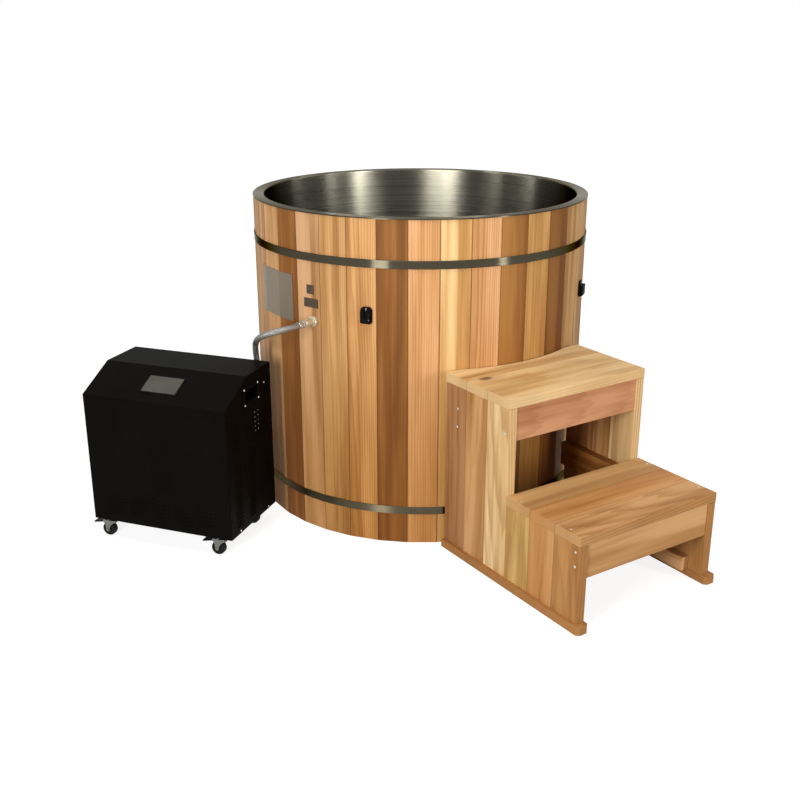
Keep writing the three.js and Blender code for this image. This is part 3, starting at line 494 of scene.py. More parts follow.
def brushed_steel(name, colour, roughness, round_z=True, scratch=(1.0, 1.0, 900.0), ripple=0.0, rim=None):
    """Brushed sheet: fine scratches, broad patches, and upright ripples where the sheet is rolled."""
    tree = Surface(name, Metallic=1.0)
    place = tree.place()
    x, y, z = tree.split(place)
    stretched = tree.join(*(part * factor for part, factor in zip((x, y, z), scratch)))
    lines = tree.noise(stretched, 1.0, 3.0, 0.6)
    patches = tree.noise(place, 7.0, 3.0)
    worn = tree.span(lines, 0.25, 0.75, 0.86, 1.10, False)
    shade = worn * tree.span(patches, 0.3, 0.7, 0.94, 1.04, False)
    tree.feed("Base Color", tree.shaded(linear(colour), shade))
    tree.feed("Roughness", tree.span(lines, 0.3, 0.7, roughness - 0.05, roughness + 0.06, False))
    height = lines
    if ripple:
        waves = tree.noise(tree.join(x * 11.0, y * 11.0, z), 1.0, 2.0)
        height = lines * 0.5 + waves * ripple
    tree.bump(height, 0.10, 0.0003)
    if round_z:
        tangent = tree.node("Tangent", direction_type="RADIAL", axis="Z")
        tree.feed("Tangent", tree.out(tangent))
        tree.feed("Anisotropic", 1.0)
        tree.feed("Anisotropic Rotation", 0.25)
        # Painted shade: grazing reflections tinted dark, less so at the rim's top
        tint = tree.mix(tree.span(z, RIM_FROM, RIM_TO), EDGE_TINT, rim) if rim else EDGE_TINT
        tree.feed("Specular Tint", tint)
    return tree.material


def speckled(name, colour, other, roughness, scale, relief, metallic=0.0, shine=0.5):
    """Powder coat, moulded plastic or plated metal: a fine grain in colour, gloss and relief."""
    tree = Surface(name, Metallic=metallic)
    place = tree.place()
    tree.feed("Specular IOR Level", shine)
    fine = tree.noise(place, scale, 3.0, 0.6)
    broad = tree.noise(place, 9.0, 3.0)
    tree.feed("Base Color", tree.mix(tree.span(broad, 0.3, 0.7), linear(colour), linear(other)))
    tree.feed("Roughness", tree.span(fine, 0.3, 0.7, roughness - 0.06, roughness + 0.08, False))
    tree.bump(fine, relief, 0.0004)
    return tree.material


def braided_wire():
    """Steel wire braid: two sets of slanted strands that pass over and under each other."""
    tree = Surface("wire_braid", Metallic=1.0)
    u, v, _ = tree.split(tree.place("UV"))
    one = tree.math("SINE", (u + v) * (2 * pi))
    two = tree.math("SINE", (u - v) * (2 * pi))
    wires = tree.math("SINE", (u + v) * (10 * pi))
    height = one * two + wires * 0.3
    shade = tree.span(height, -1.0, 1.0, 0.5, 1.0, False)
    tree.feed("Base Color", tree.shaded(linear("96948f"), shade))
    tree.feed("Roughness", tree.span(height, -1.0, 1.0, 0.5, 0.3, False))
    tree.bump(height, 0.5, 0.0006)
    return tree.material


def finned_coil():
    """Rows of thin fins in front of copper tubes."""
    fins_per_metre, tubes_per_metre = 420.0, 38.0
    tree = Surface("finned_coil", Metallic=1.0, Roughness=0.4)
    z = tree.split(tree.place())[2]
    ridge = tree.span(tree.math("FRACT", z * fins_per_metre), 0.35, 0.5)
    tubes = tree.math("FRACT", z * tubes_per_metre)
    copper = tree.span(tubes, 0.35, 0.42) * tree.span(tubes, 0.58, 0.65, 1.0, 0.0)
    metal = tree.mix(copper, linear("57595b"), linear("6b462c"))
    shadow = tree.mix(1.0, metal, (0.25, 0.25, 0.25), "MULTIPLY")
    tree.feed("Base Color", tree.mix(ridge, shadow, metal))
    tree.bump(ridge, 0.5, 0.001)
    return tree.material


def screen_glass():
    """Dark glass with faint smears."""
    tree = Surface("screen_glass")
    smear = tree.noise(tree.place(), 25.0, 3.0)
    tree.feed("Base Color", tree.mix(tree.span(smear, 0.3, 0.7), linear("494840"), linear("504f46")))
    tree.feed("Roughness", tree.span(smear, 0.35, 0.65, 0.34, 0.40, False))
    tree.feed("Specular IOR Level", 0.15)
    return tree.material


steel_liner = brushed_steel("brushed_liner", "45433b", 0.28, ripple=16.0, rim=RIM_TINT)
polished_hoop = brushed_steel("polished_hoop", "4c473a", 0.18)
# The lower hoop is the same steel as the upper one; its lighter, tanner base colour is painted light
lower_hoop_painted_light = brushed_steel("lower_hoop_painted_light", "5a5241", 0.36)
steel_plate = brushed_steel("brushed_plate", "857a68", 0.45, False, (40.0, 40.0, 900.0))
dark_plate = brushed_steel("dark_plate", "5c5144", 0.45, False, (40.0, 40.0, 700.0))
nickel = speckled("nickelled_brass", "e0d6c2", "d0c5ac", 0.28, 500.0, 0.05, 0.6)
chrome = speckled("chromed_steel", "c9cacc", "bdbfc2", 0.16, 700.0, 0.02, 1.0)
zinc = speckled("zinc_plate", "7a7c74", "63655d", 0.38, 800.0, 0.05, 1.0)
bright_zinc = speckled("bright_zinc", "dcdad2", "c8c6bc", 0.30, 700.0, 0.03, 0.6)
black_coat = speckled("black_powder_coat", "050403", "080705", 0.55, 1400.0, 0.14, shine=0.03)
black_plastic = speckled("black_plastic", "070605", "0c0a08", 0.48, 1100.0, 0.10, shine=0.05)
black_rubber = speckled("black_rubber", "0f0f0e", "181716", 0.60, 900.0, 0.12, shine=0.15)
braid = braided_wire()
coil = finned_coil()
glass = screen_glass()


# Where things are
def move(x, y, z):
    return Matrix.Translation((x, y, z))


def quarter(axis, turns=1):
    return Matrix.Rotation(turns * pi / 2, 4, axis)


def on_stave(index, offset, height):
    """Frame on the flat of a stave: +x out of the wall, +y along it, +z up."""
    azimuth = FIRST_SEAM + (index + 0.5) * STAVE_ANGLE
    out = Vector((sin(azimuth), -cos(azimuth), 0))
    along = Vector((cos(azimuth), sin(azimuth), 0))
    spot = out * WALL_FLAT + along * offset + Vector((0, 0, height))
    return Matrix.Translation(spot) @ Matrix.Rotation(azimuth - pi / 2, 4, "Z")


chiller = Matrix.Translation(CHILLER_CORNER) @ Matrix.Rotation(CHILLER_TURN, 4, "Z")
slope_angle = atan2(HOUSING_TOP - SLOPE_BOTTOM, SLOPE_DEPTH)
slope = chiller @ move(0, 0, SLOPE_BOTTOM) @ Matrix.Rotation(slope_angle, 4, "X")


# Pieces
def ease_edges(piece, width, sharp):
    edge = piece.modifiers.new("edges", "BEVEL")
    edge.width = width
    edge.segments = 2
    edge.limit_method = "ANGLE"
    edge.angle_limit = radians(sharp)


def finish_piece(name, shape, material, body=ROOT, sharp=35.0, bevel=0.0):
    """Makes a piece of a mesh, or of faces gathered for one, with its body and slot."""
    mesh = shape
    if isinstance(shape, bmesh.types.BMesh):
        bmesh.ops.recalc_face_normals(shape, faces=shape.faces)
        mesh = bpy.data.meshes.new(name)
        shape.to_mesh(mesh)
        shape.free()
    mesh.shade_smooth()
    mesh.set_sharp_from_angle(angle=radians(sharp))
    piece = add_object(name, mesh)
    mesh.materials.append(material)
    if bevel:
        ease_edges(piece, bevel, sharp)
    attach(piece, body)
    return piece


# Profiles that are closed at the axis stop this far from it
AXIS = 0.0002


def mirrored(profile):
    """The other half of a profile, from the middle out."""
    return [(-along, radius) for along, radius in reversed(profile)]


def shifted(profile, by):
    return [(along + by, radius) for along, radius in profile]


def add_ring(work, matrix, points, height):
    return [work.verts.new(matrix @ Vector((x, y, height))) for x, y in points]


def bridge(work, near, far):
    """Joins two rings of as many points."""
    for i in range(len(near)):
        k = (i + 1) % len(near)
        work.faces.new((near[i], near[k], far[k], far[i]))


def close_rings(work, rings):
    for i, ring in enumerate(rings):
        bridge(work, ring, rings[(i + 1) % len(rings)])


def add_lathe(work, profile, matrix, segments=48, axis="X", flats=None):
    """Turns a closed (along, radius) profile about local X or Z, as a hexagon if flats is its width."""
    loops = []
    for i in range(segments):
        angle = 2 * pi * i / segments
        limit = flats / 2 / cos(angle % (pi / 3) - pi / 6) if flats else inf
        loop = []
        for along, radius in profile:
            reach = min(radius, limit)
            side, rise = reach * cos(angle), reach * sin(angle)
            spot = (along, side, rise) if axis == "X" else (side, rise, along)
            loop.append(work.verts.new(matrix @ Vector(spot)))
        loops.append(loop)
    close_rings(work, loops)


def add_prism(work, points, low, high, matrix):
    """Closes an (x, y) outline pushed from low to high along local z."""
    bottom = add_ring(work, matrix, points, low)
    top = add_ring(work, matrix, points, high)
    work.faces.new(bottom[::-1])
    work.faces.new(top)
    bridge(work, bottom, top)


def rounded(half_x, half_y, radius, steps=4):
    points = []
    for cx, cy, start in ((1, 1, 0), (-1, 1, 90), (-1, -1, 180), (1, -1, 270)):
        for degree in spread(start, start + 90, steps):
            angle = radians(degree)
            points.append((cx * (half_x - radius) + radius * cos(angle),
                           cy * (half_y - radius) + radius * sin(angle)))
    return points


def circle(radius, sides):
    return [(radius * cos(angle), radius * sin(angle)) for angle in spread(0, 2 * pi, sides)[:-1]]


def add_screw(work, matrix, radius, height):
    """A pan head with a cross recess, standing on local z = 0."""
    sides = 24
    rows = [(0.0, 1.0), (0.35, 1.0), (0.75, 0.86), (1.0, 0.55)]
    rings = [add_ring(work, matrix, circle(radius * width, sides), share * height) for share, width in rows]
    floor = []
    for x, y in circle(radius * 0.5, sides):
        arm = min(abs(x), abs(y)) < radius * 0.16
        floor.append(work.verts.new(matrix @ Vector((x, y, height * (0.45 if arm else 1.02)))))
    rings.append(floor)
    for near, far in pairwise(rings):
        bridge(work, near, far)
    work.faces.new(rings[0][::-1])
    centre = work.verts.new(matrix @ Vector((0, 0, height * 0.4)))
    for i in range(sides):
        work.faces.new((floor[i], floor[(i + 1) % sides], centre))


# Hose, first of all the pieces
def blend(a, b, start, end, at):
    return a * ((end - at) / (end - start)) + b * ((at - start) / (end - start))


def hose_line(points, per_span=14):
    """Centripetal Catmull-Rom line through the points."""
    knots = [Vector(point) for point in points]
    knots = [2 * knots[0] - knots[1], *knots, 2 * knots[-1] - knots[-2]]
    line = []
    for i in range(1, len(knots) - 2):
        four = knots[i - 1:i + 3]
        times = [0.0]
        for a, b in pairwise(four):
            times.append(times[-1] + sqrt((b - a).length))
        for step in range(per_span):
            at = times[1] + (times[2] - times[1]) * step / per_span
            three = [blend(four[j], four[j + 1], times[j], times[j + 1], at) for j in range(3)]
            two = [blend(three[j], three[j + 1], times[j], times[j + 2], at) for j in range(2)]
            line.append(blend(*two, times[1], times[2], at))
    line.append(knots[-2])
    return line


def evenly(line, step):
    """Points a step apart along the line, and the line's length."""
    lengths = [0.0]
    for a, b in pairwise(line):
        lengths.append(lengths[-1] + (b - a).length)
    count = max(2, round(lengths[-1] / step))
    out, j = [], 0
    for i in range(count + 1):
        want = lengths[-1] * i / count
        while j < len(line) - 2 and lengths[j + 1] < want:
            j += 1
        share = (want - lengths[j]) / (lengths[j + 1] - lengths[j])
        out.append(line[j].lerp(line[j + 1], min(1.0, share)))
    return out, lengths[-1]


def make_hose():
    path, length = evenly(hose_line(HOSE_POINTS), step=0.0011)
    spans = len(path) - 1
    sides = 60
    strands = 12
    depth = 0.00035
    run = length / (pi * HOSE_DIAMETER) * strands
    mesh = bpy.data.meshes.new("return_hose_braid")
    verts, faces, uvs = [], [], []
    normal = Vector((0, 0, 1))
    for i, spot in enumerate(path):
        ahead = (path[min(i + 1, spans)] - path[max(i - 1, 0)]).normalized()
        normal = (normal - ahead * normal.dot(ahead)).normalized()
        other = ahead.cross(normal)
        along = run * i / spans
        for j in range(sides):
            angle = 2 * pi * j / sides
            around = strands * j / sides
            weave = sin(pi * (around + along)) * sin(pi * (around - along))
            radius = HOSE_DIAMETER / 2 - depth * (0.5 - 0.5 * weave)
            verts.append(spot + (normal * cos(angle) + other * sin(angle)) * radius)
    last = spans * sides
    for i in range(spans):
        low, high = i / spans * run / 2, (i + 1) / spans * run / 2
        for j in range(sides):
            k = (j + 1) % sides
            faces.append((i * sides + j, i * sides + k, (i + 1) * sides + k, (i + 1) * sides + j))
            left, right = strands * j / sides / 2, strands * (j + 1) / sides / 2
            uvs += [(left, low), (right, low), (right, high), (left, high)]
    faces.append(tuple(range(sides))[::-1])
    faces.append(tuple(range(last, last + sides)))
    uvs += [(0, 0)] * (2 * sides)
    mesh.from_pydata(verts, [], faces)
    layer = mesh.uv_layers.new(name="UVMap")
    for loop, uv in zip(layer.data, uvs):
        loop.uv = uv
    piece = finish_piece("return_hose_braid", mesh, braid, sharp=60.0)
    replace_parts(piece, "return_hose")
    [tuple(p) for p in path[::4] + [path[-1]]]


make_hose()


# Tub liner with its turned rim, smooth all round
ROUND_SEGMENTS = 192


def make_liner():
    hub = 0.0005
    floor_in = LINER_FLOOR + LINER_SHEET
    bend = 0.016
    rim_under = TUB_HEIGHT - 0.003
    rim_out = TUB_RADIUS + 0.001
    lip = 0.0006
    profile = [(LINER_FLOOR, hub), (LINER_FLOOR, LINER_OUTER), (rim_under, LINER_OUTER),
               (rim_under, rim_out), (TUB_HEIGHT - lip, rim_out), (TUB_HEIGHT, rim_out - lip)]
    rim_bend = 0.0035
    profile += [(TUB_HEIGHT - rim_bend * (1 - cos(angle)), LINER_INNER + rim_bend * (1 - sin(angle)))
                for angle in spread(0, pi / 2, 4)]
    profile += [(floor_in + bend * (1 - sin(angle)), LINER_INNER - bend * (1 - cos(angle)))
                for angle in spread(0, pi / 2, 6)]
    profile.append((floor_in, hub))
    work = bmesh.new()
    add_lathe(work, profile, Matrix.Identity(4), ROUND_SEGMENTS, "Z")
    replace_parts(finish_piece("liner_shell", work, steel_liner, sharp=30.0), "tub_liner")


make_liner()


# Hoops with their draw lugs and bolt at the back
def make_hoop(name, height, steel):
    inner = TUB_RADIUS + SEAT
    outer = inner + HOOP_SHEET
    half = HOOP_WIDTH / 2
    ease = 0.0005
    work = bmesh.new()
    profile = [(height - half, inner), (height - half, outer - ease), (height - half + ease, outer),
               (height + half - ease, outer), (height + half, outer - ease), (height + half, inner)]
    add_lathe(work, profile, Matrix.Identity(4), ROUND_SEGMENTS, "Z")
    turned = on_stave(LUG_STAVE, 0, height) @ quarter("X", -1)
    lug_half = 0.0072
    lug_x = SEAT + HOOP_SHEET + lug_half
    bolt_x = SEAT + 1.5 * HOOP_SHEET + LUG_REACH / 2
    lug = [(x + lug_x, z) for x, z in rounded(lug_half, half - ease, 0.003)]
    head = [(x + bolt_x, z) for x, z in circle(BOLT_HEAD_RADIUS, 6)]
    for side in (-1, 1):
        near = side * LUG_SPACING / 2
        far = near + side * LUG_LENGTH
        head_end = far + side * BOLT_HEAD_LENGTH
        add_prism(work, lug, min(near, far), max(near, far), turned)
        add_prism(work, head, min(far, head_end), max(far, head_end), turned)
    turns = 20
    bolt_end, thread_end, thread_depth = 0.027, 0.0262, 0.0006
    thread = [(x, BOLT_RADIUS - (0 if i % 2 else thread_depth))
              for i, x in enumerate(spread(-thread_end, thread_end, 2 * turns))]
    shaft = turned @ move(bolt_x, 0, 0)
    add_lathe(work, [(-bolt_end, AXIS), *thread, (bolt_end, AXIS)], shaft, 20, "Z")
    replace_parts(finish_piece(f"{name}_band", work, steel, sharp=40.0), name)


make_hoop("hoop_upper", UPPER_HOOP_HEIGHT, polished_hoop)
make_hoop("hoop_lower", LOWER_HOOP_HEIGHT, lower_hoop_painted_light)


# Wall fittings, turned about the wall's normal
def hex_nut(work, matrix, bore):
    """A chamfered hexagon nut against the wall, along local x."""
    flats, low, high, chamfer = 0.028, SEAT, SEAT + 0.012, 0.0012
    corner = flats / 2 / cos(pi / 6)
    eased = corner - 2.2 * chamfer
    profile = [(low, bore), (low, eased), (low + chamfer, corner), (high - chamfer, corner), (high, eased),
               (high, bore)]
    add_lathe(work, profile, matrix, flats=flats)


def behind_liner(offset, radius):
    """How far behind the stave's flat a round flange clears the liner."""
    clear = LINER_INNER * cos(STAVE_ANGLE / 4)
    side = abs(offset) + radius
    return WALL_FLAT - sqrt(clear * clear - side * side) + SEAT


def groove(start, end, tube, depth):
    """Profile points of a groove with sloped sides round a tube."""
    slope = 0.0005
    floor = tube - depth
    return [(start, tube), (start + slope, floor), (end - slope, floor), (end, tube)]


def bulkhead_profile(offset, reach):
    flange = -behind_liner(offset, FLANGE_RADIUS)
    back = flange - FLANGE_THICKNESS
    ease, bore, tube, tip = 0.0012, 0.007, 0.0102, 0.0006
    return [(back, bore), (back, FLANGE_RADIUS - ease), (back + ease, FLANGE_RADIUS),
            (flange, FLANGE_RADIUS), (flange, tube), *groove(0.016, 0.019, tube, 0.0012),
            *groove(reach - 0.0035, reach - 0.0017, tube, 0.0008),
            (reach - tip, tube), (reach, tube - tip), (reach, bore)]


def make_fittings():
    inlet = on_stave(INLET_STAVE, INLET_OFFSET, INLET_HEIGHT)
    work = bmesh.new()
    add_lathe(work, bulkhead_profile(INLET_OFFSET, INLET_REACH), inlet)
    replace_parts(finish_piece("inlet_body", work, nickel), "inlet_bulkhead")
    work = bmesh.new()
    hex_nut(work, inlet, 0.0105)
    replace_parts(finish_piece("inlet_hex_nut", work, nickel), "inlet_nut")
    work = bmesh.new()
    bore, end = 0.006, FERRULE_LENGTH
    ferrule = [(0, bore), (0, 0.0103), (0.0005, 0.0106), (0.0045, 0.0106), (0.005, 0.0094),
               (0.007, 0.0094), (0.0076, 0.0102), (0.013, 0.0100), (0.0135, 0.0095), (0.0145, 0.0095),
               (0.015, 0.0099), (end - 0.001, 0.0096), (end, 0.0092), (end, bore)]
    add_lathe(work, shifted(ferrule, INLET_REACH + SEAT), inlet, 40)
    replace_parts(finish_piece("inlet_crimp", work, chrome), "inlet_ferrule")
    outlet = on_stave(OUTLET_STAVE, 0, OUTLET_HEIGHT)
    work = bmesh.new()
    add_lathe(work, bulkhead_profile(0, OUTLET_REACH), outlet)
    hex_nut(work, outlet, 0.0099)
    face = -behind_liner(0, FLANGE_RADIUS) - FLANGE_THICKNESS
    strainer = [(-0.016, 0.007), (-0.016, 0.0102), (-0.014, 0.0115), (0.0025, 0.0188), (0.0025, 0.007)]
    add_lathe(work, shifted(strainer, face), outlet, 40)
    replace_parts(finish_piece("outlet_body", work, nickel), "outlet_bulkhead")


make_fittings()


# Caster wheels: rubber tread on a moulded hub
def make_wheel(spot, x, y):
    work = bmesh.new()
    axle = chiller @ move(x - AXLE_TRAIL, y, AXLE_HEIGHT) @ quarter("Z")
    half, radius, bore = 0.009, 0.020, 0.0043
    dish = -half + 0.0015
    outline = [(-half, bore), (-half, 0.0075), (dish, 0.0085), (dish, 0.0135), (-half, 0.0145),
               (-half, radius - 0.0025), (-half + 0.0012, radius - 0.0008), (-half + 0.003, radius)]
    add_lathe(work, outline + mirrored(outline), axle, 64)
    piece = finish_piece(f"wheel_{spot}_tyre", work, black_rubber,
                         f"wheel_{spot}", sharp=28.0)
    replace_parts(piece, f"caster_wheel_{spot}")


CASTERS = {
    f"{end}_{side}": (x, y)
    for end, y in (("front", CASTER_INSET_Y), ("back", CHILLER_DEPTH - CASTER_INSET_Y))
    for side, x in (("left", CASTER_INSET_X), ("right", CHILLER_WIDTH - CASTER_INSET_X))
}


def make_fork(spot, x, y):
    """A pressed fork: crown, race, waisted legs, the axle bolt, and in front the pedal's pin."""
    at = chiller @ move(x, y, 0)
    leg_inner, leg_outer, half_length, plate = 0.011, 0.014, 0.014, 0.003
    foot = 0.0056
    outline = [(foot * cos(angle) - AXLE_TRAIL, foot * sin(angle) + AXLE_HEIGHT)
               for angle in spread(pi, 2 * pi, 8)]
    outline += [(-0.0098, 0.028), (-0.005, 0.0355), (0.003, 0.0420), (0.0136, 0.0458),
                (half_length, FORK_TOP)]
    if spot.startswith("front"):
        outline += [(-0.0306, FORK_TOP), (-0.0306, 0.0438), (-0.0294, 0.0415), (-0.0268, 0.0402),
                    (-0.0246, 0.036)]
    else:
        outline += [(-0.0224, FORK_TOP), (-0.0224, 0.038)]
    outline.append((-0.0230, 0.029))
    work = bmesh.new()
    upright = at @ quarter("X")
    for low, high in ((leg_inner, leg_outer), (-leg_outer, -leg_inner)):
        add_prism(work, outline, low, high, upright)
    add_prism(work, rounded(half_length, leg_outer, 0.003), FORK_TOP - plate, FORK_TOP, at)
    race = [(-0.0015, AXIS), (-0.0015, 0.0165), (-0.001, 0.0170), (0.0005, 0.0170), (0.001, 0.0160),
            (0.001, 0.0050), (0.006, 0.0050), (0.006, AXIS)]
    add_lathe(work, shifted(race, FORK_TOP), at, 40, "Z")
    across = at @ move(-AXLE_TRAIL, 0, AXLE_HEIGHT) @ quarter("Z")
    bolt = [(-0.016, AXIS), (-0.016, 0.0028), (-0.0156, 0.0040), (-0.0142, 0.0046), (-0.0142, 0.0039)]
    add_lathe(work, bolt + mirrored(bolt), across, 32)
    if spot.startswith("front"):
        pin = [(-0.0144, AXIS), (-0.0144, 0.0014), (-0.0140, 0.0019)]
        add_lathe(work, pin + mirrored(pin), at @ move(PEDAL_PIN_X, 0, PEDAL_PIN_Z) @ quarter("Z"), 20)
    piece = finish_piece(f"fork_{spot}_pressing", work, zinc, f"caster_{spot}", bevel=0.0004)
    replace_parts(piece, f"caster_fork_{spot}")


for make in (make_wheel, make_fork):
    for spot, (x, y) in CASTERS.items():
        make(spot, x, y)


# Screws, with the radius and height of their heads, and small trim
PANEL_SCREW = (0.0029, 0.0017)
STEP_SIDE_SCREW = (0.0034, 0.0009)
TREAD_SCREW = (0.0030, 0.0007)


def make_chiller_screws():
    """Screws of the side panels and the handles' flanges, and two rows of rivets on each side."""
    panel_spots = [(0.227, 0.447), (0.053, 0.0696), (0.222, 0.0685)]
    flange_spots = [(0.185, 0.461), (0.1065, 0.4614), (0.108, 0.417), (0.1867, 0.4164)]
    flange_face = 0.0028
    rivet_rows, rivet_bottom, rivet_pitch = 5, 0.325, 0.0135
    rivet = [(-0.0003, AXIS), (-0.0003, 0.0015), (0.0003, 0.0014), (0.0006, 0.0007), (0.0006, AXIS)]
    faces = {
        "right": (chiller @ move(CHILLER_WIDTH, 0, 0) @ quarter("Y"), -1),
        "left": (chiller @ quarter("Y", -1), 1),
    }
    for side, (face, up) in faces.items():
        work = bmesh.new()
        for spots, lift in ((panel_spots, 0.0), (flange_spots, flange_face)):
            for y, z in spots:
                add_screw(work, face @ move(up * z, y, lift), *PANEL_SCREW)
        for row in range(rivet_rows):
            for y in (0.1655, 0.184):
                add_lathe(work, rivet, face @ move(up * (rivet_bottom + rivet_pitch * row), y, 0.0), 14, "Z")
        finish_piece(f"chiller_screws_{side}", work, bright_zinc)


def make_step_screws():
    """Screws through the step's side panels and down through its lower tread."""
    side_spots = [(-0.514, 0.426), (-0.512, 0.375), (-0.711, 0.420), (-0.991, 0.210), (-0.991, 0.172)]
    tread_rows = [-0.774, -0.9586]
    tread_inset = 0.0115
    work = bmesh.new()
    for side in (-1, 1):
        x = STEP_CENTRE_X + side * STEP_WIDTH / 2
        for y, z in side_spots:
            add_screw(work, move(x, y, z) @ quarter("Y", side), *STEP_SIDE_SCREW)
        for y in tread_rows:
            add_screw(work, move(x - side * tread_inset, y, LOWER_TREAD_TOP), *TREAD_SCREW)
    finish_piece("step_screws", work, bright_zinc)


LOUVRE_SLOT = 0.005
LOUVRE_REACH = 0.0026


def add_hood(work, matrix, width):
    """A pressed hood over a slot: local x along it, y up, z out, open at its lower edge."""
    slot = LOUVRE_SLOT
    rows = []
    for t in spread(-1, 1, 10):
        swell = LOUVRE_REACH * sqrt(max(0.0, 1 - t ** 4)) + 0.0002
        section = [(slot + 0.0014, 0.0), (slot * 0.75, swell * 0.75), (0.0021, swell),
                   (0.0017, swell * 0.8), (slot * 0.7, swell * 0.5), (slot + 0.0004, 0.0)]
        x = t * (width / 2 + 0.0008)
        rows.append([work.verts.new(matrix @ Vector((x, y, z))) for y, z in section])
    for near, far in pairwise(rows):
        bridge(work, near, far)
    work.faces.new(rows[0][::-1])
    work.faces.new(rows[-1])


def make_louvres():
    """Hoods over the front and side slots, and a short blind column on each side."""
    work = bmesh.new()
    columns, rows, width, pitch_x, pitch_z, bottom = 5, 5, 0.056, 0.072, 0.012, 0.088
    left = (CHILLER_WIDTH - (columns - 1) * pitch_x - width) / 2 + width / 2
    for column in range(columns):
        for row in range(rows):
            spot = chiller @ move(left + column * pitch_x, 0, bottom + row * pitch_z)
            add_hood(work, spot @ quarter("X"), width)
    finish_piece("front_louvres", work, black_coat)
    side_pitch = 0.011
    side_columns = [(0.054, 0.036, 0.082, 26), (0.131, 0.036, 0.082, 26), (0.222, 0.024, 0.160, 9)]
    sides = {"left": (0.0, -pi / 2), "right": (CHILLER_WIDTH, pi / 2)}
    for side, (x, turn) in sides.items():
        work = bmesh.new()
        facing = Matrix.Rotation(turn, 4, "Z") @ quarter("X")
        for y, width, bottom, rows in side_columns:
            for row in range(rows):
                spot = chiller @ move(x, y, bottom + side_pitch * row)
                add_hood(work, spot @ facing, width)
        finish_piece(f"side_louvres_{side}", work, black_coat)


def make_shade_baffle():
    """A pleated black sheet close behind the front slots, put in as painted shade for the dark inside of the
    housing.
    """
    work = bmesh.new()
    start, end, pleats = 0.030, CHILLER_WIDTH - 0.030, 60
    ridge, valley, back = 0.0042, 0.0062, 0.0090
    bottom, top = 0.080, 0.150
    points = [(x, valley if i % 2 else ridge) for i, x in enumerate(spread(start, end, pleats))]
    add_prism(work, points + [(end, back), (start, back)], bottom, top, chiller)
    finish_piece("shade_baffle_sheet", work, black_plastic)


def make_latch_tongues():
    """A bright spring tongue in each latch slot and a keyhole button below it."""
    work = bmesh.new()
    tongue = rounded(0.0040, 0.0007, 0.0006)
    tongue_height, tongue_back, tongue_front = 0.0172, 0.0043, 0.0056
    button = [(0.0142, AXIS), (0.0142, 0.0011), (0.0147, 0.0009), (0.0147, AXIS)]
    for stave in LATCH_STAVES:
        latch = on_stave(stave, LATCH_OFFSET, LATCH_HEIGHT)
        slot = latch @ quarter("Y") @ move(-tongue_height, 0, 0)
        add_prism(work, tongue, tongue_back, tongue_front, slot)
        add_lathe(work, button, latch @ move(0, 0.0100, -0.0095), 20)
    finish_piece("latch_tongues", work, chrome, bevel=0.0003)


def make_plate_rivets():
    """Small rivets at the corners of the label plate."""
    work = bmesh.new()
    plate_face = 0.0018
    profile = [(0.0017, AXIS), (0.0017, 0.0016), (0.0021, 0.0014), (0.0024, 0.0008), (0.0025, AXIS)]
    for edge in (-98.4, -80.0):
        azimuth = radians(edge)
        stave = (azimuth - FIRST_SEAM) // STAVE_ANGLE
        middle = FIRST_SEAM + (stave + 0.5) * STAVE_ANGLE
        offset = (WALL_FLAT + plate_face) * tan(azimuth - middle)
        for height in (0.614, 0.736):
            add_lathe(work, profile, on_stave(stave, offset, height), 16)
    finish_piece("plate_rivets", work, steel_plate)


def make_screen_frame():
    """A thin raised border round the touch panel."""
    work = bmesh.new()
    half_x, half_y = SCREEN_WIDTH / 2, SCREEN_HEIGHT / 2
    centre = slope @ move(SCREEN_LEFT + half_x, SCREEN_UP_SLOPE + half_y, 0)
    rings = []
    low, high = 0.0001, 0.0020
    for grow, radius, height in ((0.004, 0.004, low), (0.003, 0.0035, high), (0.0003, 0.001, high),
                                 (0.0003, 0.001, low)):
        rings.append(add_ring(work, centre, rounded(half_x + grow, half_y + grow, radius), height))
    close_rings(work, rings)
    finish_piece("screen_frame", work, black_plastic)


def make_inlet_pins():
    """Three flat contacts in the mains inlet's recess."""
    work = bmesh.new()
    recess_floor, pin_length = 0.0033, 0.0052
    back = chiller @ move(MAINS_X, CHILLER_DEPTH + recess_floor, MAINS_Z) @ quarter("X", -1)
    for x, z in ((-0.007, 0.003), (0.007, 0.003), (0.0, -0.004)):
        add_prism(work, [(x + a, b - z) for a, b in rounded(0.001, 0.002, 0.0006)], 0.0, pin_length, back)
    finish_piece("mains_pins", work, nickel)


for make in (make_chiller_screws, make_step_screws, make_louvres, make_shade_baffle, make_latch_tongues,
             make_plate_rivets, make_screen_frame, make_inlet_pins):
    make()


# Materials and eased edges of the pieces that keep their CAD shape
def dress(name, material, bevel=0.0008, sharp=30.0):
    node = nodes[name]
    node.material_slots[0].material = material
    if bevel:
        weld = node.modifiers.new("weld", "WELD")
        weld.merge_threshold = 0.00002
        ease_edges(node, bevel, sharp)


for panel in range(4):
    dress(f"stave_panel_{panel + 1}", stave_wood(panel), 0.0004)

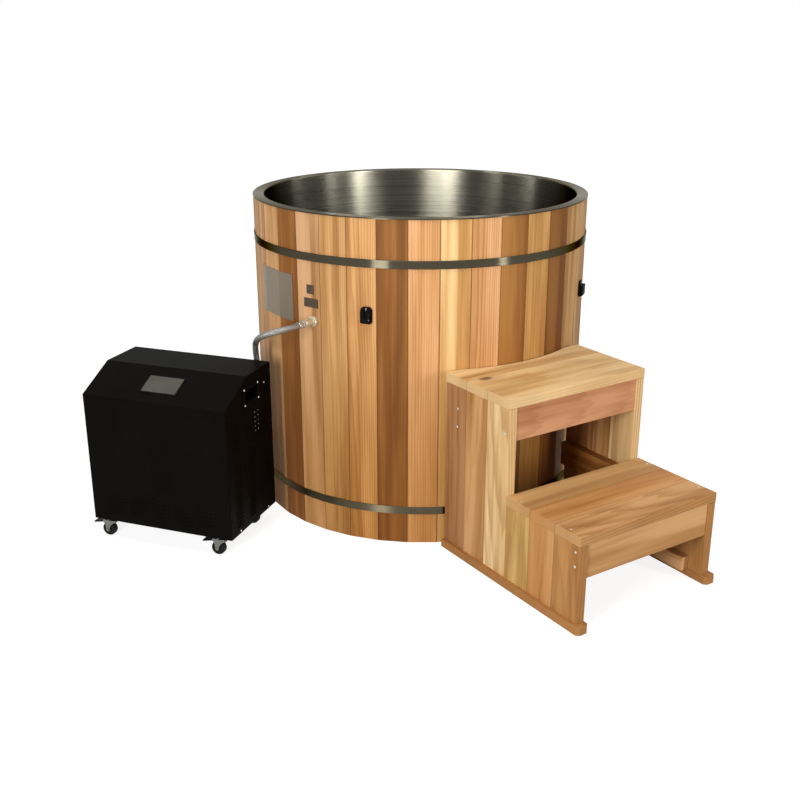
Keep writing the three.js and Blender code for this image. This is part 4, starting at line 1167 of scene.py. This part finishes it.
upper_front = STEP_BACK_Y - UPPER_DEPTH
step_front = upper_front - SEAT - LOWER_DEPTH
lower_edges = spread(step_front, upper_front - SEAT, BOARDS)
panel_edges = spread(step_front, upper_front, BOARDS)[:-1]
middle_seam = upper_front - 0.0016
panel_edges += spread(middle_seam, STEP_BACK_Y, BOARDS)
side_tones = ["amber", "orange", "wheat", "cream", "board", "mauve"]
dress("upper_tread", board_wood(
    "cedar_upper_tread", "y", "x", spread(upper_front, STEP_BACK_Y, BOARDS), ["straw"] * BOARDS,
    rings=120.0, contrast=0.45, seed=5.0, knot=(0.034, -0.172)))
dress("lower_tread", board_wood(
    "cedar_lower_tread", "y", "x", lower_edges, ["board", "orange", "shade"],
    rings=120.0, contrast=0.55, seed=9.0))
for side, seed in (("left", 3.0), ("right", 41.0)):
    dress(f"side_panel_{side}", board_wood(
        f"cedar_side_{side}", "y", "z", panel_edges, side_tones, rings=110.0, contrast=0.9, seed=seed))
paired = [("runner", "x", "y", "umber"), ("low_cleat", "z", "y", "tan"), ("mid_cleat", "z", "y", "brown")]
single = [(f"{name}_{side}", *more) for name, *more in paired for side in ("left", "right")]
single += [
    ("upper_apron", "z", "x", "blush"),
    ("lower_apron", "z", "x", "board"),
    ("upper_back_rail", "z", "x", "brown"),
    ("base_bearers", "y", "x", "tan"),
]
for i, (name, across_axis, along_axis, tone) in enumerate(single):
    low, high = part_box(name)
    axis = "xyz".index(across_axis)
    dress(name, board_wood(
        f"cedar_{name}", across_axis, along_axis, [low[axis], high[axis]], [tone],
        rings=140.0, contrast=0.4, streaks=0.5, seed=60.0 + 7.0 * i))
low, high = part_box("base_boards")
base_tones = ["tan", "pale", "brown", "tan", "rose"] * 2
base_edges = spread(low[1], high[1], len(base_tones))
dress("base_boards", board_wood("cedar_base", "y", "x", base_edges, base_tones, seed=77.0))

plain = [
    (black_coat, 0.0009, ["chiller_cover", "chiller_back", "chiller_base_pan"]),
    (black_coat, 0.0003, ["chiller_panel_left", "chiller_panel_right"]),
    (black_coat, 0.002, ["compressor"]),
    (black_coat, 0.0006, ["handle_left", "handle_right"]),
    (black_plastic, 0.0008, ["latch_1", "latch_2", "latch_3", "latch_4", "mains_inlet"]),
    (black_plastic, 0.0007, ["brake_pedal_front_left", "brake_pedal_front_right"]),
    (black_plastic, 0.0006, ["heat_exchanger", "fan_rotor"]),
    (glass, 0.0005, ["touchscreen"]),
    (coil, 0.0, ["condenser"]),
    (steel_plate, 0.0004, ["label_plate"]),
    (steel_plate, 0.0008, ["drain_lever"]),
    (dark_plate, 0.0003, ["tag_small", "tag_wide"]),
    (nickel, 0.0004, ["drain_valve_body"]),
    (nickel, 0.0005, ["port_block"]),
]
for material, bevel, names in plain:
    for name in names:
        dress(name, material, bevel)


# Floor, light and view
SOFT_LIGHT = 0.16


def backdrop_rays(tree):
    """1 for rays from the camera and for those that metal mirrors or glass lets through, else 0."""
    light_path = tree.node("LightPath")
    seen = tree.out(light_path, "Is Camera Ray")
    for name in ("Is Glossy Ray", "Is Transmission Ray"):
        seen = tree.math("MAXIMUM", seen, tree.out(light_path, name))
    return seen


def make_floor():
    mesh = bpy.data.meshes.new("floor")
    reach, drop = 14.0, 0.0005
    corners = [(-reach, -reach), (reach, -reach), (reach, reach), (-reach, reach)]
    mesh.from_pydata([(x, y, -drop) for x, y in corners], [], [(0, 1, 2, 3)])
    tree = Surface("floor_white", Roughness=0.9)
    tree.feed("Base Color", (0.5, 0.5, 0.5))
    x, y, _ = tree.split(tree.place())
    glow = tree.node("Emission", (1, 1, 1), tree.span(tree.length(x, y), 1.3, 3.0, 0.86, 1.0))
    shadowed = tree.node("BsdfDiffuse", (0.3, 0.3, 0.3))
    seen = tree.node("AddShader", tree.out(glow), tree.out(shadowed))
    blend = tree.node("MixShader", backdrop_rays(tree), tree.out(tree.shader), tree.out(seen))
    tree.put(tree.output.inputs[0], tree.out(blend))
    mesh.materials.append(tree.material)
    floor = add_object("floor", mesh)


def make_world():
    world = bpy.data.worlds.new("studio")
    bpy.context.scene.world = world
    tree = Tree(world)
    soft, white = (tree.node("Background", (1, 1, 1), strength) for strength in (SOFT_LIGHT, 1.0))
    mix = tree.node("MixShader", backdrop_rays(tree), tree.out(soft), tree.out(white))
    tree.put(tree.node("OutputWorld").inputs[0], tree.out(mix))


def make_lamp(name, azimuth, distance, height, size, power, aim=(0, 0, 0.45)):
    data = bpy.data.lights.new(name, "AREA")
    data.shape = "RECTANGLE"
    data.size, data.size_y = size
    data.energy = power
    lamp = add_object(name, data)
    angle = radians(azimuth)
    lamp.location = (distance * sin(angle), -distance * cos(angle), height)
    lamp.rotation_euler = (Vector(aim) - lamp.location).to_track_quat("-Z", "Y").to_euler()
    lamp.visible_camera = False


# Upright bands of light on the liner's far wall: angle on the wall, width and power of each strip lamp
LINER_BANDS = [
    (-26.2, 0.06, 1.3),
    (-6.8, 0.05, 1.8),
    (7.2, 0.09, 6.6),
    (44.6, 0.18, 10.0),
    (68.6, 0.05, 1.0),
    (86.9, 0.05, 1.8),
]
STRIP_REACH = 0.6
STRIP_LENGTH = 0.34
STRIP_HEIGHT = 1.18
STRIP_AIM = 0.80


def make_liner_strip(band, angle, width, power):
    """A small lamp over the tub, where the liner's far wall mirrors it to the camera."""
    turn = radians(angle)
    outward = Vector((sin(turn), cos(turn), 0))
    wall = outward * LINER_INNER
    to_camera = Vector((camera.location.x - wall.x, camera.location.y - wall.y, 0)).normalized()
    spot = wall + (2 * to_camera.dot(outward) * outward - to_camera) * STRIP_REACH
    azimuth = degrees(atan2(spot.x, -spot.y))
    aim = (wall.x, wall.y, STRIP_AIM)
    make_lamp(f"strip_{band}", azimuth, spot.length, STRIP_HEIGHT, (width, STRIP_LENGTH), power, aim)


make_floor()
make_world()
make_lamp("key", -58, 3.3, 1.10, (0.55, 1.2), 58)
make_lamp("side", 18, 3.3, 1.10, (0.28, 1.2), 34)
make_lamp("top", -40, 0.9, 3.4, (2.2, 2.2), 56)
for band, values in enumerate(LINER_BANDS):
    make_liner_strip(band, *values)
bpy.context.scene.view_settings.view_transform = "Standard"
